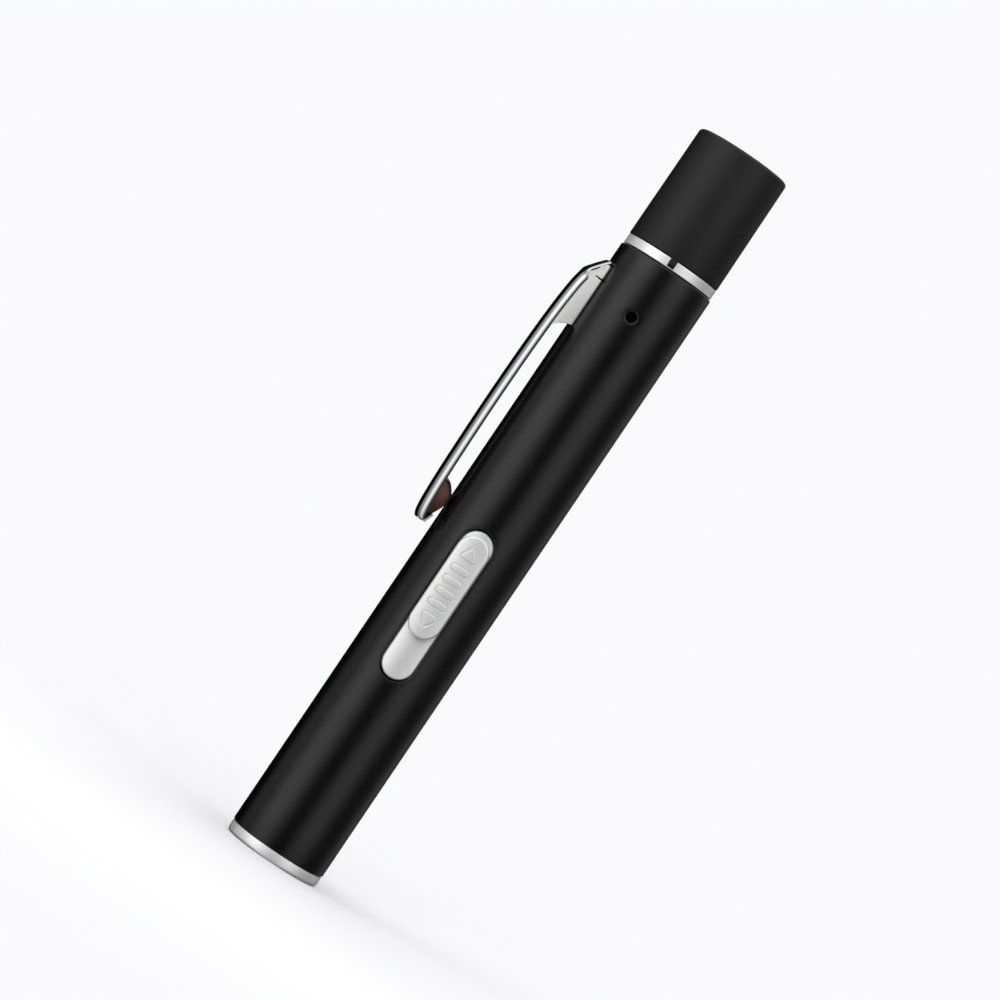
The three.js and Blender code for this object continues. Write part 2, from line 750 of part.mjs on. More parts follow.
function makeCap() {
  const keyTurn = THREE.MathUtils.degToRad(keyAngle);
  const collar = solid(ring(collarBore, collarRadius, barrelEnd, collarTop));
  const notchHalf = keyWidth / 2 + notchGap;
  const notch = box(-notchHalf, notchHalf, -barrelRadius * 2, 0, barrelEnd + notchStrip, capTop);
  piece('collar_ring', collar.subtract(solid(notch.rotateZ(keyTurn))), satinSilver);

  const endRadius = capRadius - capTaper;
  const shell = solid(turned([
    [capBore, capBase],
    [capRadius, capBase],
    ...corner(endRadius - capRimRadius, capTop - capRimRadius, capRimRadius, 0, 90),
    [0, capTop],
    [0, capTop - capEndWall],
    [capBore, capTop - capEndWall],
    [capBore, capBase],
  ]));
  const keyFace = seatGap - collarRadius;
  const keyHalf = keyWidth / 2;
  const key = box(-keyHalf, keyHalf, keyFace, keyFace + keyThickness, capBase - keyDrop, capBase + keyDrop);
  piece('cap', shell.add(solid(key.rotateZ(keyTurn))), blackPlastic);
}

function makeClip() {
  const clip = new THREE.Group();
  clip.rotation.z = clipTurn;
  pen.add(clip);

  const innerEdge = armRings.map((points) => points.at(-1)).filter((point) => point.z > sideBase);
  const throat = boreRadius;
  const hoodRings = archedStrip(hoodCurve, hoodStations);
  const [hoodHigh, hoodFar] = [hoodRings[0], hoodRings[hoodStations]].map((points) => (
    points[0].clone().lerp(points.at(-1), 0.5)
  ));
  const hoodLow = hoodHigh.clone().lerp(hoodFar, (hoodHigh.z - hoodFloor) / (hoodHigh.z - hoodFar.z));
  const toe = new THREE.QuadraticBezierCurve(
    new THREE.Vector2(barrelRadius - clipSheet, sideBase + sideToe),
    new THREE.Vector2(innerEdge.at(-1).x - sideArmGap, sideBase + sideToe),
    new THREE.Vector2(innerEdge.at(-1).x - sideArmGap, sideBase),
  );
  const outline = polygon([
    [throat, sideBase + sideToe],
    ...toe.getPoints(arcSteps / 2).map((point) => [point.x, point.y]),
    ...innerEdge.reverse().map((point) => [point.x - sideArmGap, point.z]),
    [innerEdge.at(-1).x - sideArmGap, hoodFloor],
    [hoodLow.x, hoodLow.z],
    [hoodHigh.x, hoodHigh.z],
    [throat, hoodHigh.z],
  ]);
  const nearSide = solid(pushed(outline, -sideOuter, -sideInner));
  const farSide = solid(pushed(outline, sideInner, sideOuter));
  const around = solid(rod(barrelRadius + clipSeatGap, 0, capTop));
  const aboveBend = solid(box(0, clipLength, -clipWidth, clipWidth, hoodFloor, capTop));
  let base = solid(lofted(hoodRings)).intersect(aboveBend).add(nearSide).add(farSide).subtract(around);
  const [slitReach, slitHalf] = [barrelRadius + slitDepth, slitWidth / 2];
  base = base.subtract(solid(box(0, slitReach, -clipWidth, clipWidth, bendZ - slitHalf, bendZ + slitHalf)));
  const footOut = Math.sqrt((boreRadius - cutGap) ** 2 - sideOuter ** 2);
  const footIn = footOut - clipSheet;
  for (const side of [-1, 1]) {
    const [legLow, legHigh] = [sideInner * side, sideOuter * side].sort((a, b) => a - b);
    const legTop = barrelRadius + clipSheet;
    const leg = box(footIn, legTop, legLow, legHigh, tabBase, tabBase + tabLength);
    const [footLow, footHigh] = [(sideOuter - tabFootLength) * side, sideOuter * side].sort((a, b) => a - b);
    const foot = box(footIn, footOut, footLow, footHigh, tabBase, tabBase + tabLength);
    base = base.add(solid(leg)).add(solid(foot));
  }
  piece('clip_base', base, chrome, clip);
  piece('clip_arm', solid(lofted(armRings)).add(makeBump()), chrome, clip);
}

// Rounded bump under the clip's tip that rests on the barrel
function makeBump() {
  const apexRadius = barrelRadius + bumpGap;
  const [low, high] = [tipZ + bumpFromTip, tipZ + bumpFromTip + bumpLength];
  const root = barrelRadius + tipRise - bumpRoot;
  const apex = tipZ + bumpApex;
  const shape = new THREE.Shape();
  shape.moveTo(root, high);
  shape.quadraticCurveTo(apexRadius, apex + bumpShoulder, apexRadius, apex);
  shape.quadraticCurveTo(apexRadius, apex - bumpHeel, root, low);
  return solid(pushed(shape, -bumpWidth / 2, bumpWidth / 2));
}

makeBarrel();
makeHead();
makeLamp();
makeLaser();
makeBoard();
makeBattery();
makeSwitch();
makePlug();
makeCap();
makeClip();

export default pen;
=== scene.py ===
"""Laser pen flashlight: fine surfaces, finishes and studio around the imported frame.

Metres. The pen stands on its light end, +Z runs to the cap and the switch faces -Y.
"""

import json
import logging
import math
from dataclasses import dataclass
from enum import Enum
from functools import cache
from itertools import pairwise
from typing import Callable, Sequence

import bmesh
import bpy
from mathutils import Matrix, Vector


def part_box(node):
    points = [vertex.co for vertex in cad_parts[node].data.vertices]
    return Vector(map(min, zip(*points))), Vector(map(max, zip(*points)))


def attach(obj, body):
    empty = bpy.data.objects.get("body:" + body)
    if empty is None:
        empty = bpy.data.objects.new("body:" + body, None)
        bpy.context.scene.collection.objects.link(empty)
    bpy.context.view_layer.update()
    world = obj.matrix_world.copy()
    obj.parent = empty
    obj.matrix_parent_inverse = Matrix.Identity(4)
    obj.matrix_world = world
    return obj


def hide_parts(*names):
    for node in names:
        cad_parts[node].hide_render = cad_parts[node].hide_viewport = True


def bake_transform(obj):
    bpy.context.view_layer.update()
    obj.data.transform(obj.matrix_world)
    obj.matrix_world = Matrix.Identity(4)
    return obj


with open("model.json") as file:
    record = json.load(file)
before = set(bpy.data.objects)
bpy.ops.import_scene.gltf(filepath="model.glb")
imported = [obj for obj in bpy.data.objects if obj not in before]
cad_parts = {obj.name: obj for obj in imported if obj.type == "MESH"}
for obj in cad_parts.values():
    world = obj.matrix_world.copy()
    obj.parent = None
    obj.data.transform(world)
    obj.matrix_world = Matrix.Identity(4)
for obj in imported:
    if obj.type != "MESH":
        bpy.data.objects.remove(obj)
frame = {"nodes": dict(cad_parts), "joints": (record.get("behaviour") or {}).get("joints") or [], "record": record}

log = logging.getLogger("pen")

MM = 0.001
WELD = 1e-6
MERGE = 1e-7
ROUND_SIDES = 160
SMALL_SIDES = 72
BEVEL_STEPS = 2
CREASE = math.radians(34)

Pair = tuple[float, float]
Corner = tuple[float, float, float]
Place = Callable[[float, float, float], Vector]
Feed = dict[str | int, object]
Piece = bpy.types.Object
Tree = bpy.types.NodeTree
Node = bpy.types.Node
Socket = bpy.types.NodeSocket


class Body(Enum):
    """Bodies of the frame that pieces ride on."""

    BARREL = "barrel"
    SLIDER = "slider"
    CAP = "cap"
    CLIP = "clip_arm"


class Relief(Enum):
    """Fine relief that a finish carries."""

    BLASTED = "blasted"
    TURNED = "turned"


def spread(start: float, end: float, count: int) -> list[float]:
    """Evenly spaced values, both ends included."""
    return [start + (end - start) * step / count for step in range(count + 1)]


def smooth(share: float) -> float:
    """Ease from 0 to 1 with level ends."""
    held = min(max(share, 0.0), 1.0)
    return held * held * (3 - 2 * held)


def fillet(before: Pair, corner: Pair, after: Pair, radius: float, steps: int = 6) -> list[Pair]:
    """Round one corner of an outline.

    Args:
        before: The outline's point before the corner.
        corner: The corner itself.
        after: The outline's point after the corner.
        radius: Radius of the arc.
        steps: Straight steps that the arc is drawn with.

    Returns:
        Points of the arc, in the outline's order.
    """
    here = Vector(corner)
    back = (Vector(before) - here).normalized()
    onward = (Vector(after) - here).normalized()
    half = back.angle(onward) / 2
    centre = here + (back + onward).normalized() * (radius / math.sin(half))
    start = here + back * (radius / math.tan(half)) - centre
    end = here + onward * (radius / math.tan(half)) - centre
    first = math.atan2(start.y, start.x)
    turn = (math.atan2(end.y, end.x) - first + math.pi) % math.tau - math.pi
    angles = [first + turn * share for share in spread(0, 1, steps)]
    return [(centre.x + radius * math.cos(a), centre.y + radius * math.sin(a)) for a in angles]


def rounded(corners: Sequence[Corner]) -> list[Pair]:
    """Close an outline, with each corner's own radius.

    Args:
        corners: Corners as (x, y, radius), where a radius of 0 stays sharp.

    Returns:
        Points of the whole outline.
    """
    outline: list[Pair] = []
    for index, (x, y, radius) in enumerate(corners):
        before, after = corners[index - 1], corners[(index + 1) % len(corners)]
        outline += fillet(before[:2], (x, y), after[:2], radius) if radius else [(x, y)]
    return outline


def mesh_piece(name: str, points: Sequence[Sequence[float]], faces: Sequence[Sequence[int]]) -> Piece:
    """Make a smooth-shaded piece with crisp creases.

    Args:
        name: Name of the piece.
        points: Its vertices.
        faces: Its faces, as indices of vertices.

    Returns:
        The new object, linked to the scene.
    """
    mesh = bpy.data.meshes.new(name)
    mesh.from_pydata([tuple(point) for point in points], [], faces)
    work = bmesh.new()
    work.from_mesh(mesh)
    bmesh.ops.remove_doubles(work, verts=work.verts, dist=MERGE)
    bmesh.ops.recalc_face_normals(work, faces=work.faces)
    work.to_mesh(mesh)
    work.free()
    mesh.shade_smooth()
    mesh.set_sharp_from_angle(angle=CREASE)
    piece = bpy.data.objects.new(name, mesh)
    bpy.context.scene.collection.objects.link(piece)
    return piece


def lathe(name: str, outline: Sequence[Pair], sides: int = ROUND_SIDES, x: float = 0.0) -> Piece:
    """Turn a closed (radius, height) outline about an upright axis.

    Args:
        name: Name of the piece.
        outline: Closed outline, in order.
        sides: Steps round the axis.
        x: Where the axis stands along X.

    Returns:
        The turned piece.
    """
    count = len(outline)
    points: list[Vector] = []
    faces: list[tuple[int, ...]] = []
    for side in range(sides):
        angle = math.tau * side / sides
        points += [Vector((x + r * math.cos(angle), r * math.sin(angle), z)) for r, z in outline]
    for side in range(sides):
        here, there = side * count, (side + 1) % sides * count
        for a in range(count):
            b = (a + 1) % count
            if max(outline[a][0], outline[b][0]) > WELD:
                faces.append((here + a, there + a, there + b, here + b))
    return mesh_piece(name, points, faces)


def loft(name: str, rings: Sequence[Sequence[Vector]]) -> Piece:
    """Skin closed rings of equal count, with flat ends.

    Args:
        name: Name of the piece.
        rings: The rings, in order.

    Returns:
        The closed piece.
    """
    count = len(rings[0])
    points = [point for ring in rings for point in ring]
    faces: list[tuple[int, ...]] = []
    for row in range(len(rings) - 1):
        for a in range(count):
            b = (a + 1) % count
            faces.append((row * count + a, row * count + b, (row + 1) * count + b, (row + 1) * count + a))
    faces.append(tuple(range(count)))
    faces.append(tuple(range(len(points) - count, len(points))))
    return mesh_piece(name, points, faces)


def joined(name: str, pieces: Sequence[Piece]) -> Piece:
    """Put the meshes of several pieces into one new piece.

    Args:
        name: Name of the new piece.
        pieces: The pieces, which are dropped.

    Returns:
        The new piece.
    """
    work = bmesh.new()
    for piece in pieces:
        work.from_mesh(piece.data)
    mesh = bpy.data.meshes.new(name)
    work.to_mesh(mesh)
    work.free()
    for piece in pieces:
        bpy.data.objects.remove(piece)
    whole = bpy.data.objects.new(name, mesh)
    bpy.context.scene.collection.objects.link(whole)
    return whole


def cut(body: Piece, cutters: Sequence[Piece]) -> None:
    """Take the cutters' solids out of a body, then drop the cutters.

    Args:
        body: The piece to cut.
        cutters: Closed solids.
    """
    for cutter in cutters:
        step = body.modifiers.new(cutter.name, "BOOLEAN")
        step.operation = "DIFFERENCE"
        step.solver = "EXACT"
        step.object = cutter
    graph = bpy.context.evaluated_depsgraph_get()
    mesh = bpy.data.meshes.new_from_object(body.evaluated_get(graph))
    body.modifiers.clear()
    body.data = mesh
    mesh.shade_smooth()
    mesh.set_sharp_from_angle(angle=CREASE)
    for cutter in cutters:
        bpy.data.objects.remove(cutter)


def soften(piece: Piece, width: float) -> None:
    """Round a piece's sharp edges by a narrow bevel.

    Args:
        piece: The piece.
        width: Width of the bevel.
    """
    bevel = piece.modifiers.new("soft_edges", "BEVEL")
    bevel.width = width
    bevel.segments = BEVEL_STEPS
    bevel.limit_method = "ANGLE"
    bevel.angle_limit = CREASE
    bevel.harden_normals = True


@dataclass(frozen=True)
class Opening:
    """Round-ended opening in a skin, on the line u = 0.

    The lip is a list of (offset from the edge, drop below the skin), from the edge outwards.
    """

    v: float
    reach: float
    radius: float
    lip: Sequence[Pair]


def round_lip(radius: float, steps: int = 4) -> list[Pair]:
    """Quarter-round lip, from the edge outwards."""
    angles = spread(0, math.pi / 2, steps)
    return [(radius * (1 - math.cos(a)), radius * (1 - math.sin(a))) for a in angles]


class Skin:
    """Sheet of faces over (u, v) places that closes into a body with its own underside."""

    RINGS = 5

    def __init__(self, place: Place, thickness: float, period: float = 0.0) -> None:
        """Start an empty skin.

        Args:
            place: Gives the point at (u, v) and a drop below the top.
            thickness: Drop of the underside.
            period: Length of u after which the skin meets itself, or 0.
        """
        self.place = place
        self.thickness = thickness
        self.period = period
        self.top: list[Vector] = []
        self.under: list[Vector] = []
        self.faces: list[tuple[int, ...]] = []
        self.index: dict[tuple[int, int], int] = {}

    def corner(self, u: float, v: float, drop: float) -> int:
        """Give the index of the vertex at a place, making it if it is new.

        Args:
            u: Place across the skin.
            v: Place along it.
            drop: Drop below its top.

        Returns:
            The index.
        """
        wrapped = u % self.period if self.period else u
        key = (round(wrapped / WELD), round(v / WELD))
        if key not in self.index:
            self.index[key] = len(self.top)
            self.top.append(self.place(u, v, drop))
            self.under.append(self.place(u, v, self.thickness))
        return self.index[key]

    def face(self, *corners: Corner) -> None:
        """Add a face between (u, v, drop) corners, unless they fall together.

        Args:
            corners: The corners, in order.
        """
        ring = tuple(dict.fromkeys(self.corner(*corner) for corner in corners))
        if len(ring) > 2:
            self.faces.append(ring)

    def grid(self, us: Sequence[float], rows: Sequence[Pair]) -> None:
        """Fill a plain stretch from its columns and its (v, drop) rows.

        Args:
            us: The columns.
            rows: The rows.
        """
        for (v0, drop0), (v1, drop1) in pairwise(rows):
            for u0, u1 in pairwise(us):
                self.face((u0, v0, drop0), (u1, v0, drop0), (u1, v1, drop1), (u0, v1, drop1))

    def pierced(self, us: Sequence[float], vs: Sequence[float], hole: Opening) -> None:
        """Fill a rectangle round an opening.

        Args:
            us: Columns of the rectangle's border.
            vs: Rows of the rectangle's border.
            hole: The opening inside it.
        """
        border = [(u, vs[0]) for u in us[:-1]] + [(us[-1], v) for v in vs[:-1]]
        border += [(u, vs[-1]) for u in us[:0:-1]] + [(us[0], v) for v in vs[:0:-1]]
        lip_end = hole.radius + hole.lip[-1][0]
        spokes = []
        for u, v in border:
            middle = min(max(v, hole.v - hole.reach), hole.v + hole.reach)
            far = math.hypot(u, v - middle)
            way = (u / far, (v - middle) / far)
            steps = [(distance, 0.0) for distance in spread(far, lip_end, self.RINGS)]
            steps += [(hole.radius + offset, drop) for offset, drop in reversed(hole.lip[:-1])]
            spokes.append([(way[0] * d, middle + way[1] * d, drop) for d, drop in steps])
        for here, there in zip(spokes, spokes[1:] + spokes[:1]):
            for (a, b), (c, d) in zip(pairwise(here), pairwise(there)):
                self.face(a, c, d, b)

    def close(self, name: str) -> Piece:
        """Wall the open edges and return the closed piece.

        Args:
            name: Name of the piece.

        Returns:
            The piece.
        """
        count = len(self.top)
        edges = {pair for face in self.faces for pair in zip(face, face[1:] + face[:1])}
        walls = [(b, a, a + count, b + count) for a, b in edges if (b, a) not in edges]
        under = [tuple(i + count for i in reversed(face)) for face in self.faces]
        return mesh_piece(name, self.top + self.under, self.faces + under + sorted(walls))


def round_place(radius: float) -> Place:
    """Places on a tube about the Z axis, with u along its girth from the switch's line.

    Args:
        radius: The tube's radius.

    Returns:
        What gives the point at (u, v) and a drop.
    """

    def place(u: float, v: float, drop: float) -> Vector:
        """Point at a girth, a height and a drop below the tube."""
        angle = u / radius
        return Vector((math.sin(angle) * (radius - drop), -math.cos(angle) * (radius - drop), v))

    return place


def front_place(radius: float) -> Place:
    """Places on the switch side of a round face, with u straight along X.

    Args:
        radius: The face's radius.

    Returns:
        What gives the point at (u, v) and a drop.
    """

    def place(u: float, v: float, drop: float) -> Vector:
        """Point at a width, a height and a drop below the face."""
        return Vector((u, -math.sqrt((radius - drop) ** 2 - u * u), v))

    return place


def linear(tone: str) -> tuple[float, float, float, float]:
    """Turn a #rrggbb tone into linear colour with full alpha.

    Args:
        tone: The tone.

    Returns:
        Red, green, blue and alpha.
    """
    parts = [int(tone[i:i + 2], 16) / 255 for i in (1, 3, 5)]
    r, g, b = [p / 12.92 if p <= 0.04045 else ((p + 0.055) / 1.055) ** 2.4 for p in parts]
    return (r, g, b, 1.0)


class Wiring:
    """Adds nodes to one tree and links them."""

    def __init__(self, tree: Tree) -> None:
        """Keep the tree that the nodes go into."""
        self.tree = tree

    def add(self, kind: str, sockets: Feed | None = None, **options: object) -> Node:
        """Add a node.

        Args:
            kind: Its type, without the words that every type starts with.
            sockets: What its inputs hold, or the sockets that they are linked from.
            options: Its own settings, such as its operation.

        Returns:
            The new node.
        """
        node = self.tree.nodes.new("ShaderNode" + kind)
        for option, choice in options.items():
            setattr(node, option, choice)
        self.feed(node, sockets or {})
        return node

    def feed(self, node: Node, sockets: Feed) -> None:
        """Set a node's inputs, or link them where a socket is given.

        Args:
            node: The node.
            sockets: What each input holds or is linked from.
        """
        for name, given in sockets.items():
            if isinstance(given, Socket):
                self.tree.links.new(given, node.inputs[name])
            else:
                node.inputs[name].default_value = given

    def sum(self, operation: str, *values: object) -> Socket:
        """Work out one or two values by a named operation."""
        return self.add("Math", dict(enumerate(values)), operation=operation).outputs["Value"]

    def ranged(
        self, value: Socket, start: Sequence, end: Sequence = (0.0, 1.0), kind: str = "LINEAR",
    ) -> Socket:
        """Carry a value from one range over to another.

        Args:
            value: The value.
            start: Both ends of its own range.
            end: What each end becomes.
            kind: How it runs between them.

        Returns:
            The socket with the new value.
        """
        sockets: Feed = {"Value": value}
        for names, ends in ((("From Min", "From Max"), start), (("To Min", "To Max"), end)):
            sockets.update(zip(names, ends))
        return self.add("MapRange", sockets, interpolation_type=kind).outputs["Result"]


class ShaderGroups:
    """Surface effects that several finishes share, each built once as a node group."""

    SCALE = 1000.0
    GRAIN_DETAIL = 3.0
    GRAIN_RANGE = (0.3, 0.7)
    WEAR_SCALE = 900.0
    WEAR_AMOUNT = 0.2
    WORN_CORNER = (0.53, 0.62)

    @staticmethod
    def start(name: str, inputs: dict[str, float], outputs: Sequence[str]) -> tuple:
        """Begin a group.

        Args:
            name: Name of the group.
            inputs: Value sockets with their defaults.
            outputs: Names of the value sockets that it puts out.

        Returns:
            The group's wiring, its input node and its output node.
        """
        tree = bpy.data.node_groups.new(name, "ShaderNodeTree")
        for label, value in inputs.items():
            socket = tree.interface.new_socket(label, in_out="INPUT", socket_type="NodeSocketFloat")
            socket.default_value = value
        for label in outputs:
            tree.interface.new_socket(label, in_out="OUTPUT", socket_type="NodeSocketFloat")
        return Wiring(tree), tree.nodes.new("NodeGroupInput"), tree.nodes.new("NodeGroupOutput")

    @classmethod
    @cache
    def grain(cls) -> Tree:
        """Even grain: a value that wanders between two limits, and its height.

        Returns:
            The group.
        """
        inputs = {"Scale": cls.SCALE, "Low": 0.0, "High": 1.0}
        wiring, given, result = cls.start("surface_grain", inputs, ["Value", "Height"])
        place = wiring.add("TexCoord").outputs["Object"]
        sockets = {"Vector": place, "Scale": given.outputs["Scale"], "Detail": cls.GRAIN_DETAIL}
        height = wiring.add("TexNoise", sockets).outputs["Fac"]
        limits = (given.outputs["Low"], given.outputs["High"])
        wiring.feed(result, {"Value": wiring.ranged(height, cls.GRAIN_RANGE, limits), "Height": height})
        return wiring.tree

    @classmethod
    @cache
    def turned(cls) -> Tree:
        """Tool lines round the pen's axis: a height that changes only along it and away from it.

        Returns:
            The group.
        """
        wiring, given, result = cls.start("turned_lines", {"Scale": cls.SCALE}, ["Height"])
        place = wiring.add("TexCoord").outputs["Object"]
        flat = wiring.add("VectorMath", {0: place, 1: (1, 1, 0)}, operation="MULTIPLY").outputs["Vector"]
        reach = wiring.add("VectorMath", {0: flat}, operation="LENGTH").outputs["Value"]
        along = wiring.add("SeparateXYZ", {"Vector": place}).outputs["Z"]
        sockets = {"W": wiring.sum("ADD", along, reach), "Scale": given.outputs["Scale"]}
        lines = wiring.add("TexNoise", sockets, noise_dimensions="1D")
        wiring.feed(result, {"Height": lines.outputs["Fac"]})
        return wiring.tree

    @classmethod
    @cache
    def wear(cls) -> Tree:
        """Wear along edges: a mask that is 1 where a corner has rubbed bare.

        Returns:
            The group.
        """
        wiring, given, result = cls.start("edge_wear", {"Amount": cls.WEAR_AMOUNT}, ["Mask"])
        shape = wiring.add("NewGeometry").outputs["Pointiness"]
        place = wiring.add("TexCoord").outputs["Object"]
        noise = wiring.add("TexNoise", {"Vector": place, "Scale": cls.WEAR_SCALE}).outputs["Fac"]
        patchy = wiring.sum("MULTIPLY", wiring.ranged(shape, cls.WORN_CORNER), noise)
        wiring.feed(result, {"Mask": wiring.sum("MULTIPLY", patchy, given.outputs["Amount"])})
        return wiring.tree


@dataclass(frozen=True)
class Finish:
    """Opaque finish with its grain, its handling marks and its wear.

    Scales count features in a metre, and relief_height is a real height.
    """

    slot: str
    tone: str
    worn_tone: str
    metallic: float
    roughness: float
    roughness_spread: float
    relief: Relief = Relief.BLASTED
    relief_scale: float = 7000.0
    relief_height: float = 0.0015 * MM
    mottle_scale: float = 160.0
    mottle: float = 0.05
    specular: float = 0.5
    wear: float = 0.15

    @cache
    def material(self) -> bpy.types.Material:
        """Build the finish's material once.

        Returns:
            The material.
        """
        made = bpy.data.materials.new(self.slot)
        made.name = self.slot
        made.use_nodes = True
        wiring = Wiring(made.node_tree)
        mottle = wiring.add("Group", {
            "Scale": self.mottle_scale,
            "Low": self.roughness - self.roughness_spread,
            "High": self.roughness + self.roughness_spread,
        }, node_tree=ShaderGroups.grain())
        wiring.feed(made.node_tree.nodes["Principled BSDF"], {
            "Metallic": self.metallic,
            "Specular IOR Level": self.specular,
            "Roughness": mottle.outputs["Value"],
            "Base Color": self.colour(wiring, mottle),
            "Normal": self.bump(wiring),
        })
        return made

    def colour(self, wiring: Wiring, mottle: Node) -> Socket:
        """Mix the finish's tone, a little uneven and worn along its edges.

        Args:
            wiring: The material's wiring.
            mottle: Node of its uneven grain.

        Returns:
            The socket with the colour.
        """
        base = linear(self.tone)[:3]
        uneven = wiring.add("Mix", {
            "Factor": mottle.outputs["Height"],
            "A": tuple(c * (1 - self.mottle) for c in base) + (1.0,),
            "B": tuple(min(c * (1 + self.mottle), 1.0) for c in base) + (1.0,),
        }, data_type="RGBA")
        edges = wiring.add("Group", {"Amount": self.wear}, node_tree=ShaderGroups.wear())
        worn = wiring.add("Mix", {
            "Factor": edges.outputs["Mask"],
            "A": uneven.outputs["Result"],
            "B": linear(self.worn_tone),
        }, data_type="RGBA")
        return worn.outputs["Result"]

    def bump(self, wiring: Wiring) -> Socket:
        """Raise the finish's fine relief.

        Args:
            wiring: The material's wiring.

        Returns:
            The socket with the normal.
        """
        makers = {Relief.BLASTED: ShaderGroups.grain, Relief.TURNED: ShaderGroups.turned}
        relief = wiring.add("Group", {"Scale": self.relief_scale}, node_tree=makers[self.relief]())
        sockets = {"Distance": self.relief_height, "Height": relief.outputs["Height"]}
        return wiring.add("Bump", sockets).outputs["Normal"]

    def dress(self, piece: Piece) -> None:
        """Give a piece this finish."""
        piece.data.materials.clear()
        piece.data.materials.append(self.material())


@dataclass(frozen=True)
class ClearFinish(Finish):
    """Clear moulded plastic or glass."""

    ior: float = 1.5

    @cache
    def material(self) -> bpy.types.Material:
        """Build the clear material on the plain finish.

        Returns:
            The material.
        """
        made = super().material()
        shader = made.node_tree.nodes["Principled BSDF"]
        shader.inputs["Transmission Weight"].default_value = 1.0
        shader.inputs["IOR"].default_value = self.ior
        return made


BLACK_ANODISED = Finish("black_anodised", "#060607", "#3a3a3c", 0.0, 0.26, 0.02, wear=0.1)
SATIN_SILVER = Finish(
    "satin_silver", "#ededed", "#f4f4f4", 0.55, 0.3, 0.03,
    relief=Relief.TURNED, relief_scale=9000.0, relief_height=0.0012 * MM,
)
SILVER_PAINT = Finish(
    "silver_paint", "#e6e7e6", "#f0f0ee", 0.5, 0.3, 0.03, relief_scale=11000.0, mottle=0.03,
)
CHROME = Finish(
    "chrome", "#dfe1e2", "#f4f4f4", 1.0, 0.07, 0.02,
    relief_scale=600.0, relief_height=0.0006 * MM, mottle=0.02,
)
CAP_BLACK = Finish(
    "cap_black", "#131213", "#3d3c3d", 0.0, 0.48, 0.03, relief_scale=5200.0,
    relief_height=0.004 * MM, specular=0.4,
)
BLACK_PLASTIC = Finish("black_plastic", "#242325", "#4a494b", 0.0, 0.5, 0.04, relief_height=0.003 * MM)
WHITE_PLASTIC = Finish("white_plastic", "#e4e3de", "#f2f1ee", 0.0, 0.45, 0.04)
BRASS = Finish("brass", "#c8a557", "#e6cf94", 1.0, 0.26, 0.05, relief=Relief.TURNED, relief_scale=6000.0)
NICKEL = Finish("nickel", "#c6c5c0", "#e4e3df", 1.0, 0.24, 0.06, relief_scale=2600.0)
GOLD_PLATE = Finish("gold_plate", "#dcb35c", "#f0d79a", 1.0, 0.2, 0.05, relief_scale=2600.0)
BOARD_GREEN = Finish("board_green", "#1f5a38", "#6c8f5c", 0.0, 0.4, 0.06, mottle=0.12)
CELL_SLEEVE = Finish("cell_sleeve", "#27508f", "#6a86b4", 0.0, 0.34, 0.05, mottle=0.08)
FOAM_TAPE = Finish(
    "foam_tape", "#d6d3ca", "#e6e4de", 0.0, 0.9, 0.05, relief_scale=2200.0, relief_height=0.05 * MM,
)
RED_WIRE = Finish("red_wire", "#b3201d", "#cf5a52", 0.0, 0.45, 0.05)
CLEAR_LENS = ClearFinish(
    "clear_lens", "#eef4f7", "#ffffff", 0.0, 0.05, 0.02, relief_scale=900.0,
    relief_height=0.0005 * MM, mottle=0.01, wear=0.0,
)
# Brown-toned chrome for the clip's bump, with a strong random mottle in its tone.
BUMP_METAL = Finish(
    "brown_chrome", "#5b3d35", "#8f7a70", 0.9, 0.24, 0.06, relief_scale=1400.0,
    relief_height=0.002 * MM, mottle_scale=420.0, mottle=0.5,
)
SATIN_CHROME = Finish(
    "chrome_satin", "#e4e4e2", "#f4f4f4", 0.5, 0.26, 0.02, relief_scale=4000.0, mottle=0.02,
)
SMOKED_WINDOW = Finish("smoked_window", "#020202", "#0b0b0c", 0.0, 0.3, 0.03, specular=0.05, wear=0.0)
FINISHES = [
    BLACK_ANODISED, SATIN_SILVER, SILVER_PAINT, CHROME, CAP_BLACK, BLACK_PLASTIC, WHITE_PLASTIC, BRASS,
    NICKEL, GOLD_PLATE, BOARD_GREEN, CELL_SLEEVE, FOAM_TAPE, RED_WIRE, CLEAR_LENS,
]


def fit(piece: Piece, finish: Finish, body: Body, *nodes: str, slot: str = "") -> None:
    """Dress a piece, fix it to its body and hide the frame's nodes that it stands for.

    Args:
        piece: The piece.
        finish: What it is finished with.
        body: The body that carries it.
        nodes: Nodes of the frame that it stands for.
        slot: The record's slot, where it isn't the finish's own. Not used.
    """
    finish.dress(piece)
    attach(piece, body.value)
    if nodes:
        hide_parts(*nodes)
    log.info("%s: %d faces on %s", piece.name, len(piece.data.polygons), body.value)


